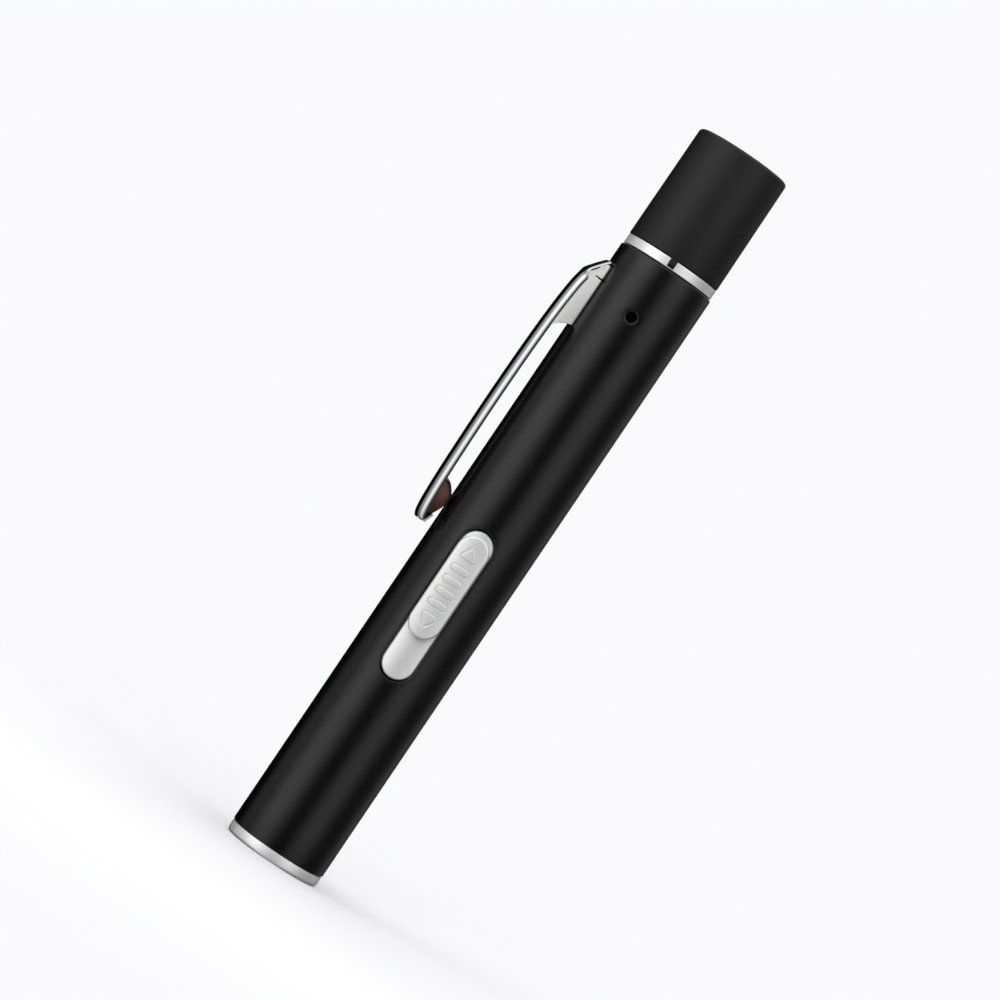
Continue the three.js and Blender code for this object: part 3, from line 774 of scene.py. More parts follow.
@dataclass
class Barrel:
    """Anodised tube with the switch's slot, and the charging lamp's hole with its window."""

    wall: float = 0.9 * MM
    low_edge: float = 0.08 * MM
    low_groove: float = 0.3 * MM
    low_wall: float = 0.02 * MM
    high_edge: float = 0.3 * MM
    low_seam: float = 0.2 * MM
    bed_lip: float = 1.3 * MM
    slot_gap: float = 0.3 * MM
    slot_edge: float = 0.12 * MM
    slot_margin: float = 2.2 * MM
    hole_from_top: float = 8.4 * MM
    hole_radius: float = 0.84 * MM
    sink_width: float = 0.24 * MM
    sink_depth: float = 0.19 * MM
    hole_margin: float = 2.6 * MM
    window_gap: float = 0.03 * MM
    window_edge: float = 0.05 * MM
    window_depth: float = 0.3 * MM
    window_sink: float = 0.8 * MM
    front_half: float = 4.6 * MM
    front_columns: int = 28
    back_columns: int = 132
    slot_steps: int = 44
    hole_steps: int = 12
    below_steps: int = 6
    between_steps: int = 8
    above_steps: int = 2
    sink_steps: int = 8

    def build(self) -> None:
        """Make the tube in one closed skin, then the window in its hole."""
        lo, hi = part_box("barrel")
        bed_lo, bed_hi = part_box("switch_bed")
        radius = hi.x
        half_width = bed_hi.x - self.bed_lip + self.slot_gap
        half_length = (bed_hi.z - bed_lo.z) / 2 - self.bed_lip + self.slot_gap
        slot_z = (bed_lo.z + bed_hi.z) / 2
        slot = Opening(slot_z, half_length - half_width, half_width, round_lip(self.slot_edge))
        hole = Opening(hi.z - self.hole_from_top, 0.0, self.hole_radius, self.sink())
        skin = Skin(round_place(radius), self.wall, math.tau * radius)
        front = spread(-self.front_half, self.front_half, self.front_columns)
        back = spread(self.front_half, math.tau * radius - self.front_half, self.back_columns)
        slot_low = slot_z - half_length - self.slot_margin
        slot_high = slot_z + half_length + self.slot_margin
        slot_rows = spread(slot_low, slot_high, self.slot_steps)
        hole_rows = spread(hole.v - self.hole_margin, hole.v + self.hole_margin, self.hole_steps)
        low = [(lo.z, self.low_groove), (lo.z + self.low_seam - self.low_wall, self.low_groove)]
        low += [(lo.z + self.low_seam + offset, drop) for offset, drop in round_lip(self.low_edge)]
        high = [(hi.z - offset, drop) for offset, drop in reversed(round_lip(self.high_edge))]
        below = low + [(v, 0.0) for v in spread(low[-1][0], slot_rows[0], self.below_steps)[1:]]
        between = [(v, 0.0) for v in spread(slot_rows[-1], hole_rows[0], self.between_steps)]
        above = [(v, 0.0) for v in spread(hole_rows[-1], high[0][0], self.above_steps)[:-1]] + high
        for rows in (below, between, above):
            skin.grid(front, rows)
        skin.pierced(front, slot_rows, slot)
        skin.pierced(front, hole_rows, hole)
        middle = [(v, 0.0) for v in slot_rows[1:-1]]
        upper = [(v, 0.0) for v in hole_rows[1:-1]]
        skin.grid(back, below + middle + between + upper + above)
        fit(skin.close("barrel_tube"), BLACK_ANODISED, Body.BARREL, "barrel")
        self.build_window(hole)

    def build_window(self, hole: Opening) -> None:
        """Set the charging lamp's smoked window a little below the barrel's skin.

        Args:
            hole: The lamp's hole.
        """
        radius = hole.radius - self.window_gap
        window = lathe("charge_window", rounded([
            (0.0, 0.0, 0.0),
            (radius, 0.0, self.window_edge),
            (radius, -self.window_depth, self.window_edge),
            (0.0, -self.window_depth, 0.0),
        ]), SMALL_SIDES)
        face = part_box("barrel")[1].x - self.window_sink
        window.data.transform(Matrix.Translation((0.0, -face, hole.v)) @ Matrix.Rotation(math.pi / 2, 4, "X"))
        fit(window, SMOKED_WINDOW, Body.BARREL, slot="black_plastic")

    def sink(self) -> list[Pair]:
        """Shallow countersink of the lamp's hole, from its edge outwards."""
        shares = spread(0, 1, self.sink_steps)
        return [(self.sink_width * s, self.sink_depth * (1 - s) * (1 - s * s * s)) for s in shares]


@dataclass
class LightEnd:
    """Turned end disc with the lamp and the laser behind its two windows."""

    edge: float = 0.55 * MM
    back_edge: float = 0.08 * MM
    spigot_gap: float = 0.1 * MM
    spigot_wall: float = 0.5 * MM
    spigot_edge: float = 0.12 * MM
    window: float = 3.2 * MM
    window_edge: float = 0.22 * MM
    flare_steps: int = 2
    lamp_gap: float = 0.15 * MM
    lamp_lip: float = 0.3 * MM
    lamp_lip_height: float = 1.0 * MM
    cup_share: float = 0.62
    cup_depth: float = 1.3 * MM
    cup_wall: float = 0.15 * MM
    cup_floor: float = 0.4 * MM
    cup_round: float = 0.1 * MM
    cup_rim: float = 0.05 * MM
    dome_steps: int = 20

    def build(self) -> None:
        """Make the disc, the lamp and its cup."""
        self.build_disc()
        self.build_lamp()

    def build_disc(self) -> None:
        """Turn the disc with its spigot, then cut both windows with eased edges."""
        lo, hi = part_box("head_cap")
        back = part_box("barrel")[0].z
        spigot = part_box("barrel")[1].x - Barrel.wall - self.spigot_gap
        inner = spigot - self.spigot_wall
        disc = lathe("light_end_disc", rounded([
            (0.0, lo.z, 0.0),
            (hi.x, lo.z, self.edge),
            (hi.x, back, self.back_edge),
            (spigot, back, 0.0),
            (spigot, hi.z, self.spigot_edge),
            (inner, hi.z, self.spigot_edge),
            (inner, back, 0.0),
            (0.0, back, 0.0),
        ]))
        lamp_lo, lamp_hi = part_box("led_lamp")
        lamp_x = (lamp_lo.x + lamp_hi.x) / 2
        lamp_bore = (lamp_hi.x - lamp_lo.x) / 2 - self.lamp_lip + self.lamp_gap
        cut(disc, [
            self.window_cutter("lamp_window", lamp_x, lamp_bore, back),
            self.window_cutter("laser_window", -lamp_x, self.window / 2, back),
        ])
        fit(disc, SATIN_SILVER, Body.BARREL, "head_cap")

    def window_cutter(self, name: str, x: float, radius: float, back: float) -> Piece:
        """Solid that cuts a round window, flared where it meets the disc's face.

        Args:
            name: Name of the solid.
            x: Where its axis stands.
            radius: The window's radius.
            back: Height of the disc's back.

        Returns:
            The solid.
        """
        outline = [(0.0, -back), (radius + self.window_edge, -back)]
        for offset in spread(self.window_edge, 0, self.flare_steps):
            outline.append((radius + offset, self.window_edge - offset))
        outline += [(radius, back * 2), (0.0, back * 2)]
        return lathe(name, outline, SMALL_SIDES, x)

    def build_lamp(self) -> None:
        """Turn the clear lamp with its dome, and the cup that shines inside it."""
        lo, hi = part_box("led_lamp")
        x = (lo.x + hi.x) / 2
        radius = (hi.x - lo.x) / 2 - self.lamp_lip
        flange = hi.z - self.lamp_lip_height
        angles = spread(0, math.pi / 2, self.dome_steps)
        dome = [(radius * math.sin(a), lo.z + radius * (1 - math.cos(a))) for a in angles]
        outline = dome + [
            (radius, flange),
            (radius + self.lamp_lip, flange),
            (radius + self.lamp_lip, hi.z),
            (0.0, hi.z),
        ]
        fit(lathe("lamp_dome", outline, SMALL_SIDES, x), CLEAR_LENS, Body.BARREL, "led_lamp")
        mouth = radius * self.cup_share
        seat = lo.z + radius + self.cup_depth
        cup = lathe("lamp_cup", rounded([
            (0.0, seat, 0.0),
            (mouth / 2, seat, self.cup_round),
            (mouth, seat - self.cup_depth, self.cup_rim),
            (mouth + self.cup_wall, seat - self.cup_depth, self.cup_rim),
            (mouth + self.cup_wall, seat + self.cup_floor, self.cup_round),
            (0.0, seat + self.cup_floor, 0.0),
        ]), SMALL_SIDES, x)
        fit(cup, NICKEL, Body.BARREL)


@dataclass
class Switch:
    """Silver bed in the barrel's slot and the sliding knob with its raised marks."""

    bed_lip: float = Barrel.bed_lip
    bed_sink: float = 0.5 * MM
    bed_edge: float = 0.28 * MM
    bed_depth: float = 1.0 * MM
    bed_steps: tuple[int, int] = (40, 40)
    knob_edge: float = 0.34 * MM
    knob_depth: float = 1.15 * MM
    knob_steps: tuple[int, int] = (110, 290)
    end_steps: int = 26
    crowding: float = 0.4
    mark_rise: float = 0.12 * MM
    mark_slope: float = 0.16 * MM
    groove_depth: float = 0.14 * MM
    groove_middle: float = 0.1 * MM
    groove_half: float = 0.12 * MM
    bar_count: int = 4
    bar_width: float = 2.8 * MM
    bar_height: float = 0.85 * MM
    bar_pitch: float = 1.9 * MM
    arrow_offset: float = 4.55 * MM
    arrow_width: float = 2.65 * MM
    arrow_height: float = 2.0 * MM
    arrow_corner: float = 0.3 * MM

    def build(self) -> None:
        """Make the bed and the knob."""
        self.build_bed()
        self.build_knob()

    def build_bed(self) -> None:
        """Make the bed's face as a round-ended pad."""
        lo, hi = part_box("switch_bed")
        width = (hi.x - self.bed_lip) * 2
        length = hi.z - lo.z - self.bed_lip * 2
        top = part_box("barrel")[1].x - self.bed_sink
        shape = (width, length, (lo.z + hi.z) / 2)
        pad = self.pad("switch_seat", shape, top, self.bed_depth, self.bed_edge, self.bed_steps)
        fit(pad, SILVER_PAINT, Body.BARREL, "switch_bed")

    def build_knob(self) -> None:
        """Make the knob's pad with its bars and arrows."""
        lo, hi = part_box("slider_knob")
        middle = (lo.z + hi.z) / 2
        top = -lo.y - self.mark_rise
        shape = (hi.x - lo.x, hi.z - lo.z, middle)

        def relief(u: float, v: float) -> float:
            """Rise of the marks at a place on the knob, with the fine groove round each.

            Args:
                u: Place across the knob.
                v: Height of the place.

            Returns:
                The rise.
            """
            away = self.mark_distance(u, v - middle)
            groove = smooth(1 - abs(away - self.groove_middle) / self.groove_half)
            return self.mark_rise * smooth(0.5 - away / self.mark_slope) - self.groove_depth * groove

        knob = self.pad("slider_cap", shape, top, self.knob_depth, self.knob_edge, self.knob_steps, relief)
        fit(knob, SILVER_PAINT, Body.SLIDER, "slider_knob")

    def mark_distance(self, u: float, v: float) -> float:
        """Distance from a place to the nearest mark, negative inside it.

        Args:
            u: Place across the knob.
            v: Place along the knob, from its middle.

        Returns:
            The signed distance.
        """
        half = (self.bar_width - self.bar_height) / 2
        distances = []
        for bar in range(self.bar_count):
            height = (bar - (self.bar_count - 1) / 2) * self.bar_pitch
            distances.append(math.hypot(max(abs(u) - half, 0.0), v - height) - self.bar_height / 2)
        distances.append(self.arrow_distance(u, abs(v) - self.arrow_offset))
        return min(distances)

    def arrow_distance(self, u: float, v: float) -> float:
        """Distance to an arrow that stands on v = 0, with its corners rounded.

        Args:
            u: Place across the knob.
            v: Place along it, from the arrow's foot.

        Returns:
            The signed distance.
        """
        half = self.arrow_width / 2
        side = math.hypot(half, self.arrow_height)
        inradius = half * self.arrow_height / (half + side)
        keep = 1 - self.arrow_corner / inradius
        corners = [
            Vector((x * keep, inradius + (z - inradius) * keep))
            for x, z in [(-half, 0.0), (half, 0.0), (0.0, self.arrow_height)]
        ]
        here = Vector((u, v))
        inside, nearest = True, math.inf
        for a, b in zip(corners, corners[1:] + corners[:1]):
            edge, away = b - a, here - a
            share = min(max(away.dot(edge) / edge.length_squared, 0.0), 1.0)
            nearest = min(nearest, (away - edge * share).length)
            inside = inside and edge.x * away.y - edge.y * away.x > 0
        return (-nearest if inside else nearest) - self.arrow_corner

    def pad(
        self, name: str, shape: Corner, top: float, depth: float, edge: float,
        steps: tuple[int, int], relief: Callable[[float, float], float] | None = None,
    ) -> Piece:
        """Make a round-ended pad that faces the switch's side.

        Args:
            name: Name of the piece.
            shape: Width, length and the height of its middle.
            top: Radius of its face about the pen's axis.
            depth: Thickness.
            edge: Radius of the rounded rim of its face.
            steps: Steps across the pad and along its straight length.
            relief: Rise of the face at a place, if it has any.

        Returns:
            The pad.
        """
        width, length, middle = shape
        columns, rows = steps
        radius = width / 2
        reach = length / 2 - radius
        ends = [reach + radius * math.sin(a) for a in spread(0, math.pi / 2, self.end_steps)]
        heights = [-end for end in reversed(ends)] + spread(-reach, reach, rows)[1:-1] + ends
        even = spread(-1, 1, columns)
        shares = [math.sin(s * math.pi / 2) * self.crowding + s * (1 - self.crowding) for s in even]
        skin = Skin(front_place(top), depth)

        def corner(share: float, height: float) -> Corner:
            """Place and drop of one vertex of the pad's face.

            Args:
                share: Place across, from -1 to 1.
                height: Place along, from the middle.

            Returns:
                As (u, v, drop).
            """
            over = max(abs(height) - reach, 0.0)
            u = share * math.sqrt(max(radius * radius - over * over, 0.0))
            inset = min(max(radius - math.hypot(u, over), 0.0), edge)
            drop = edge - math.sqrt(edge * edge - (edge - inset) ** 2)
            return (u, middle + height, drop - (relief(u, middle + height) if relief else 0.0))

        for low, high in pairwise(heights):
            for left, right in pairwise(shares):
                skin.face(corner(left, low), corner(right, low), corner(right, high), corner(left, high))
        return skin.close(name)


@dataclass
class CapEnd:
    """Silver collar with its notch, and the pull-off cap with the key that sits in it."""

    collar_edge: float = 0.08 * MM
    collar_seam: float = 0.16 * MM
    collar_wall: float = 0.9 * MM
    notch_strip: float = 0.3 * MM
    notch_half: float = 0.565 * MM
    notch_steps: int = 4
    key_turn: float = math.radians(4.5)
    key_drop: float = 0.95 * MM
    key_half: float = 0.415 * MM
    key_depth: float = 0.6 * MM
    key_inset: float = 0.05 * MM
    key_edge: float = 0.08 * MM
    cap_wall: float = 0.87 * MM
    cap_end_wall: float = 1.2 * MM
    cap_taper: float = 0.1 * MM
    cap_rim: float = 0.6 * MM
    cap_lip: float = 0.15 * MM
    cap_crown: float = 0.12 * MM

    def build(self) -> None:
        """Make the collar and the cap."""
        self.build_collar()
        self.build_cap()

    def build_collar(self) -> None:
        """Make the collar's band with its notch open towards the cap."""
        lo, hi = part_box("collar_ring")
        radius = hi.x
        girth = math.tau * radius
        skin = Skin(round_place(radius), self.collar_wall, girth)
        middle = self.key_turn * radius
        floor = lo.z + self.notch_strip
        low = [(lo.z + self.collar_seam + offset, drop) for offset, drop in round_lip(self.collar_edge)]
        high = [(hi.z - offset, drop) for offset, drop in reversed(round_lip(self.collar_edge))]
        strip = low + [(floor, 0.0)]
        upper = [(v, 0.0) for v in spread(floor, high[0][0], self.notch_steps)[:-1]] + high
        notch = spread(middle - self.notch_half, middle + self.notch_half, self.notch_steps)
        rest = spread(notch[-1], notch[0] + girth, ROUND_SIDES)
        skin.grid(notch, strip)
        skin.grid(rest, strip)
        skin.grid(rest, upper)
        fit(skin.close("collar_band"), SATIN_SILVER, Body.BARREL, "collar_ring")

    def build_cap(self) -> None:
        """Turn the cap's shell and set its key into it."""
        lo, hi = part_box("cap")
        base = lo.z + self.key_drop
        bore = hi.x - self.cap_wall
        roof = hi.z - self.cap_end_wall
        shell = lathe("cap_turned", rounded([
            (bore, base, self.cap_lip),
            (hi.x, base, self.cap_lip),
            (hi.x - self.cap_taper, hi.z, self.cap_rim),
            (hi.x / 2, hi.z, 0.0),
            (0.0, hi.z - self.cap_crown, 0.0),
            (0.0, roof, 0.0),
            (bore, roof, self.cap_lip),
        ]))
        face = self.key_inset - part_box("collar_ring")[1].x
        key = self.key_block(face, lo.z, base + self.key_drop)
        fit(joined("cap_shell", [shell, key]), CAP_BLACK, Body.CAP, "cap")

    def key_block(self, face: float, low: float, high: float) -> Piece:
        """Make the cap's key as a block with eased edges.

        Args:
            face: Where its face stands along Y.
            low: Its foot.
            high: Its top.

        Returns:
            The block.
        """
        near, far = face, face + self.key_depth
        section = rounded([
            (-self.key_half, near, self.key_edge),
            (self.key_half, near, self.key_edge),
            (self.key_half, far, self.key_edge),
            (-self.key_half, far, self.key_edge),
        ])
        key = loft("cap_key", [[Vector((x, y, z)) for x, y in section] for z in (low, high)])
        key.data.transform(Matrix.Rotation(self.key_turn, 4, "Z"))
        return key


@dataclass(frozen=True)
class Fold:
    """Half of the clip strip's cross-section, from its crown to its edge.

    The sheet's tilt in degrees is given at the crown and at the end of each length.
    """

    lengths: tuple[float, ...]
    tilts: tuple[float, ...]

    def mixed(self, other: "Fold", share: float) -> "Fold":
        """Fold that lies between this one and another.

        Args:
            other: The other fold.
            share: How far towards it, from 0 to 1.

        Returns:
            The new fold.
        """
        lengths = tuple(a + (b - a) * share for a, b in zip(self.lengths, other.lengths))
        tilts = tuple(a + (b - a) * share for a, b in zip(self.tilts, other.tilts))
        return Fold(lengths, tilts)

    def walk(self, steps: int = 5) -> list[tuple[float, float, float]]:
        """Follow the sheet outwards.

        Args:
            steps: Straight steps in each length.

        Returns:
            Points as (across, outward, tilt in radians), with the crown at 0.
        """
        across = outward = 0.0
        points = [(across, outward, math.radians(self.tilts[0]))]
        for length, (first, last) in zip(self.lengths, pairwise(self.tilts)):
            for step in range(steps):
                tilt = math.radians(first + (last - first) * (step + 0.5) / steps)
                across += math.cos(tilt) * length / steps
                outward -= math.sin(tilt) * length / steps
                points.append((across, outward, math.radians(first + (last - first) * (step + 1) / steps)))
        return points


@dataclass
class Clip:
    """Chrome pocket clip: hood and arm in one folded strip, side plates, turned-in lip and bump.

    Pairs are (rise above the barrel, height), the hood's and shoulder's from the bend, the nose's and the
    lip's from the tip. The bump's are (height above the tip, gap to the barrel).
    """

    sheet: float = 0.32 * MM
    arm_fold: Fold = Fold((1.1 * MM, 0.8 * MM, 0.54 * MM, 0.35 * MM), (0.0, 13.5, 44.0, 71.0, 86.0))
    hood_fold: Fold = Fold((1.8 * MM, 0.34 * MM, 0.14 * MM, 0.1 * MM), (0.0, 3.0, 48.0, 66.0, 86.0))
    fold_high: float = 0.5 * MM
    fold_low: float = -0.75 * MM
    tip_corner: float = 0.7 * MM
    tip_narrowing: float = 0.3
    tip_square: float = 3.0 * MM
    hood: tuple[Pair, ...] = ((1.55 * MM, 1.5 * MM), (2.6 * MM, 0.0))
    hood_top_rise: float = 0.35 * MM
    shoulder: tuple[Pair, ...] = ((2.95 * MM, -1.2 * MM), (3.24 * MM, -3.4 * MM), (3.58 * MM, -8.7 * MM))
    crest_rise: float = 3.805 * MM
    nose: tuple[Pair, ...] = (
        (3.68 * MM, 8.2 * MM), (3.53 * MM, 4.0 * MM), (3.34 * MM, 1.6 * MM), (3.14 * MM, 0.62 * MM),
        (2.88 * MM, 0.15 * MM), (2.5 * MM, 0.0),
    )
    stations: int = 170
    least_stations: int = 5
    flex_start: float = 1.0 * MM
    flex_end: float = -1.8 * MM
    plate_outer: float = 2.25 * MM
    plate_inner: float = 1.75 * MM
    side_length: float = 7.6 * MM
    side_toe: float = 1.6 * MM
    toe_bow: Pair = (0.6, 0.16)
    toe_steps: int = 8
    side_corner: float = 0.4 * MM
    side_end: float = 0.25 * MM
    side_round: float = 0.3 * MM
    side_steps: int = 6
    plate_overlap: float = 0.05 * MM
    crease_low: float = 0.4 * MM
    crease_high: float = 1.6 * MM
    crease_end: float = 0.15 * MM
    crease_width: float = 0.19 * MM
    slit_depth: float = 1.0 * MM
    slit_width: float = 0.26 * MM
    lip: tuple[Corner, ...] = (
        (2.7 * MM, 0.02 * MM, 0.0), (1.42 * MM, 0.02 * MM, 0.16 * MM), (0.88 * MM, 1.5 * MM, 0.06 * MM),
        (1.14 * MM, 1.62 * MM, 0.06 * MM), (1.64 * MM, 0.36 * MM, 0.1 * MM), (2.7 * MM, 0.36 * MM, 0.0),
    )
    lip_half: float = 1.5 * MM
    lip_edge: float = 0.05 * MM
    bump_half: float = 1.72 * MM
    bump_depth: float = 0.75 * MM
    bump_back: float = 0.15 * MM
    bump_least: float = 0.02 * MM
    bump_ends: float = 3.2
    bump_end_width: float = 0.06
    bump_sides: float = 0.06
    bump_steps: int = 40
    bump_gaps: tuple[Pair, ...] = (
        (0.85 * MM, 1.9 * MM), (1.1 * MM, 1.45 * MM), (1.6 * MM, 1.1 * MM), (3.0 * MM, 0.45 * MM),
        (3.9 * MM, 0.12 * MM), (4.45 * MM, 0.04 * MM), (5.0 * MM, 0.15 * MM), (5.5 * MM, 0.4 * MM),
        (6.2 * MM, 0.9 * MM), (6.7 * MM, 1.35 * MM), (7.0 * MM, 1.9 * MM),
    )

    def __post_init__(self) -> None:
        """Read the clip's place from its hinge and from the frame's boxes."""
        hinge = next(joint for joint in frame["joints"] if joint["name"] == "clip_flex")
        x, y, z = hinge["pos_m"]
        self.turn = Matrix.Rotation(math.atan2(y, x), 4, "Z")
        self.bend = z
        self.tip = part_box("clip_arm")[0].z
        self.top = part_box("clip_base")[1].z
        self.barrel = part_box("barrel")[1].x
        self.path = self.curve()

    def curve(self) -> list[Vector]:
        """Line of the strip's crown, from the hood's top to the tip, as (radius, 0, height).

        Returns:
            Its points.
        """
        marks = [(self.hood_top_rise, self.top)]
        marks += [(rise, self.bend + z) for rise, z in self.hood + self.shoulder]
        marks.append((self.crest_rise, (self.bend + self.tip) / 2))
        marks += [(rise, self.tip + z) for rise, z in self.nose]
        knots = [Vector((self.barrel + rise, 0.0, z)) for rise, z in marks]
        knots = [knots[0] * 2 - knots[1]] + knots + [knots[-1] * 2 - knots[-2]]
        line: list[Vector] = []
        for a, b, c, d in zip(knots, knots[1:], knots[2:], knots[3:]):
            count = max(self.least_stations, round(self.stations * (c - b).length / (self.top - self.tip)))
            line += [self.between(a, b, c, d, step / count) for step in range(count)]
        return line + [knots[-2]]

    @staticmethod
    def between(a: Vector, b: Vector, c: Vector, d: Vector, share: float) -> Vector:
        """Point of a smooth curve between b and c, with knots spaced by the root of their distance.

        Args:
            a, b, c, d: Four knots that follow one another.
            share: How far from b to c.

        Returns:
            The point.
        """
        t1 = math.sqrt((b - a).length)
        t2 = t1 + math.sqrt((c - b).length)
        t3 = t2 + math.sqrt((d - c).length)
        t = t1 + (t2 - t1) * share
        ab = a.lerp(b, t / t1)
        bc = b.lerp(c, (t - t1) / (t2 - t1))
        cd = c.lerp(d, (t - t2) / (t3 - t2))
        return ab.lerp(bc, t / t2).lerp(bc.lerp(cd, (t - t1) / (t3 - t1)), (t - t1) / (t2 - t1))

    def outward(self, index: int) -> Vector:
        """Direction away from the barrel, square to the crown's line at one of its points.

        Args:
            index: Which point.

        Returns:
            The direction.
        """
        last = len(self.path) - 1
        along = (self.path[min(index + 1, last)] - self.path[max(index - 1, 0)]).normalized()
        lean = smooth((self.path[index].z - self.tip) / self.tip_square)
        return Vector((-along.z, 0.0, along.x * lean)).normalized()

    def crown_at(self, z: float) -> float:
        """Radius of the strip's crown at a height.

        Args:
            z: The height.

        Returns:
            The radius.
        """
        for high, low in pairwise(self.path):
            if low.z <= z <= high.z:
                return low.lerp(high, (z - low.z) / (high.z - low.z)).x
        return self.path[-1].x

    def build(self) -> None:
        """Make the strip, the side plates, the lip and the bump."""
        self.build_strip()
        self.build_sides()
        self.build_lip()
        self.build_bump()

    def fold_at(self, z: float) -> Fold:
        """Fold of the strip at a height, the arm's below the bend and the hood's above it."""
        share = (z - self.bend - self.fold_low) / (self.fold_high - self.fold_low)
        return self.arm_fold.mixed(self.hood_fold, smooth(share))

    def flange_edge(self, index: int) -> Pair:
        """Line under the strip's edge that a side plate follows, as (radius, height).

        Args:
            index: Which point of the crown's line.

        Returns:
            The place.
        """
        place = self.path[index]
        rise = place.z - self.bend
        below = smooth((rise - self.crease_low) / self.crease_end)
        above = smooth((self.crease_high - rise) / self.crease_end)
        depth = self.crease_width * (below * above) - self.fold_at(place.z).walk()[-1][1] - self.plate_overlap
        edge = place - self.outward(index) * depth
        return edge.x, edge.z

    def section(self, fold: Fold) -> list[Pair]:
        """Closed cross-section of the strip as (across, outward) points, with square-cut edges.

        Args:
            fold: The fold to follow.

        Returns:
            The points.
        """
        walk = fold.walk()
        half = [(w, h) for w, h, _ in walk]
        half += [(w - math.sin(t) * self.sheet, h - math.cos(t) * self.sheet) for w, h, t in reversed(walk)]
        return half + [(-w, h) for w, h in reversed(half)][1:-1]

    def build_strip(self) -> None:
        """Loft the hood and the arm along the crown's line, rounding the tip off."""
        rings = []
        for index, place in enumerate(self.path):
            section = self.section(self.fold_at(place.z))
            short = max(1 - (place.z - self.tip) / self.tip_corner, 0.0)
            width = 1 - self.tip_narrowing * (1 - math.sqrt(max(1 - short * short, 0.0)))
            outward = self.outward(index)
            rings.append([place + outward * (h * width) + Vector((0.0, w * width, 0.0)) for w, h in section])
        strip = loft("clip_strip", rings)
        strip.data.transform(self.turn)
        CHROME.dress(strip)
        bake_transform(strip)
        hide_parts("clip_arm")
        log.info("%s: %d faces", strip.name, len(strip.data.polygons))

    def build_sides(self) -> None:
        """Make both side plates, rounded where they come down to the barrel."""
        root = math.sqrt(self.barrel ** 2 - self.plate_inner ** 2)
        level = [(self.plate_inner, root)]
        for angle in spread(0, math.pi / 2, self.side_steps):
            across = self.plate_outer - self.side_round * (1 - math.sin(angle))
            level.append((across, root + self.side_round * (1 - math.cos(angle))))
        plates = []
        for side in (-1, 1):
            plates.append(loft("clip_plate", [
                [Vector((r, across * side, z)) for r, z in self.plate_outline(foot)]
                for across, foot in level
            ]))
        sides = joined("clip_sides", plates)
        sides.data.transform(self.turn)
        fit(sides, SATIN_CHROME, Body.BARREL, "clip_base", slot=CHROME.slot)

    def plate_outline(self, foot: float) -> list[Pair]:
        """Outline of a side plate, with its toe and its relief slit.

        Args:
            foot: Radius of the edge that stands along the barrel.

        Returns:
            The outline as (radius, height) points.
        """
        heel = self.bend - self.side_length
        base = heel - self.side_toe
        stations = [i for i, place in enumerate(self.path) if base < place.z < self.top - self.side_end]
        edge = [self.flange_edge(i) for i in reversed(stations)]
        bow = (foot + (edge[0][0] - foot) * self.toe_bow[0], heel - self.side_toe * self.toe_bow[1])
        shares = spread(0, 1, self.toe_steps)[:-1]
        outline = [self.bowed((foot, heel), bow, edge[0], share) for share in shares] + edge
        outline += fillet(edge[-1], (foot, self.top), (foot, self.bend), self.side_corner)
        slit = self.slit_width / 2
        outline += [(foot, self.bend + slit), (foot + self.slit_depth, self.bend + slit)]
        return outline + [(foot + self.slit_depth, self.bend - slit), (foot, self.bend - slit)]

    @staticmethod
    def bowed(start: Pair, pull: Pair, end: Pair, share: float) -> Pair:
        """Point of a bowed edge that leans towards its pull."""
        weights = ((1 - share) ** 2, 2 * share * (1 - share), share ** 2)
        return tuple(sum(w * p[axis] for w, p in zip(weights, (start, pull, end))) for axis in (0, 1))

    def build_lip(self) -> None:
        """Make the lip that the strip's end turns in under the bump."""
        outline = rounded([(self.barrel + rise, self.tip + z, radius) for rise, z, radius in self.lip])
        sides = (-self.lip_half, self.lip_half)
        lip = loft("clip_lip", [[Vector((r, w, z)) for r, z in outline] for w in sides])
        lip.data.transform(self.turn)
        soften(lip, self.lip_edge)
        fit(lip, CHROME, Body.CLIP)

    def build_bump(self) -> None:
        """Make the pressed bump under the tip, which rests on the barrel."""
        low, high = self.bump_gaps[0][0], self.bump_gaps[-1][0]
        rings = []
        for share in spread(0, 1, self.bump_steps):
            place = low + (high - low) * share
            root = self.crown_at(self.tip + place) - self.bump_depth
            face = self.barrel + self.gap_at(place)
            plan = 1 - abs(2 * share - 1) ** self.bump_ends
            half = self.bump_half * math.sqrt(max(plan, self.bump_end_width))
            ring = []
            for angle in spread(0, math.tau, self.bump_steps)[:-1]:
                reach = math.sin(angle)
                swell = reach * self.bump_back
                if reach < 0:
                    swell = -abs(reach) ** self.bump_sides * max(root - face, self.bump_least)
                ring.append(Vector((root + swell, half * math.cos(angle), self.tip + place)))
            rings.append(ring)
        bump = loft("clip_bump", rings)
        bump.data.transform(self.turn)
        fit(bump, BUMP_METAL, Body.CLIP, slot=CHROME.slot)

    def gap_at(self, place: float) -> float:
        """Gap between the bump and the barrel at a height above the tip.

        Args:
            place: The height.

        Returns:
            The gap.
        """
        for (z0, gap0), (z1, gap1) in pairwise(self.bump_gaps):
            if place <= z1:
                share = (place - z0) / (z1 - z0)
                return gap0 + (gap1 - gap0) * share
        return self.bump_gaps[-1][1]


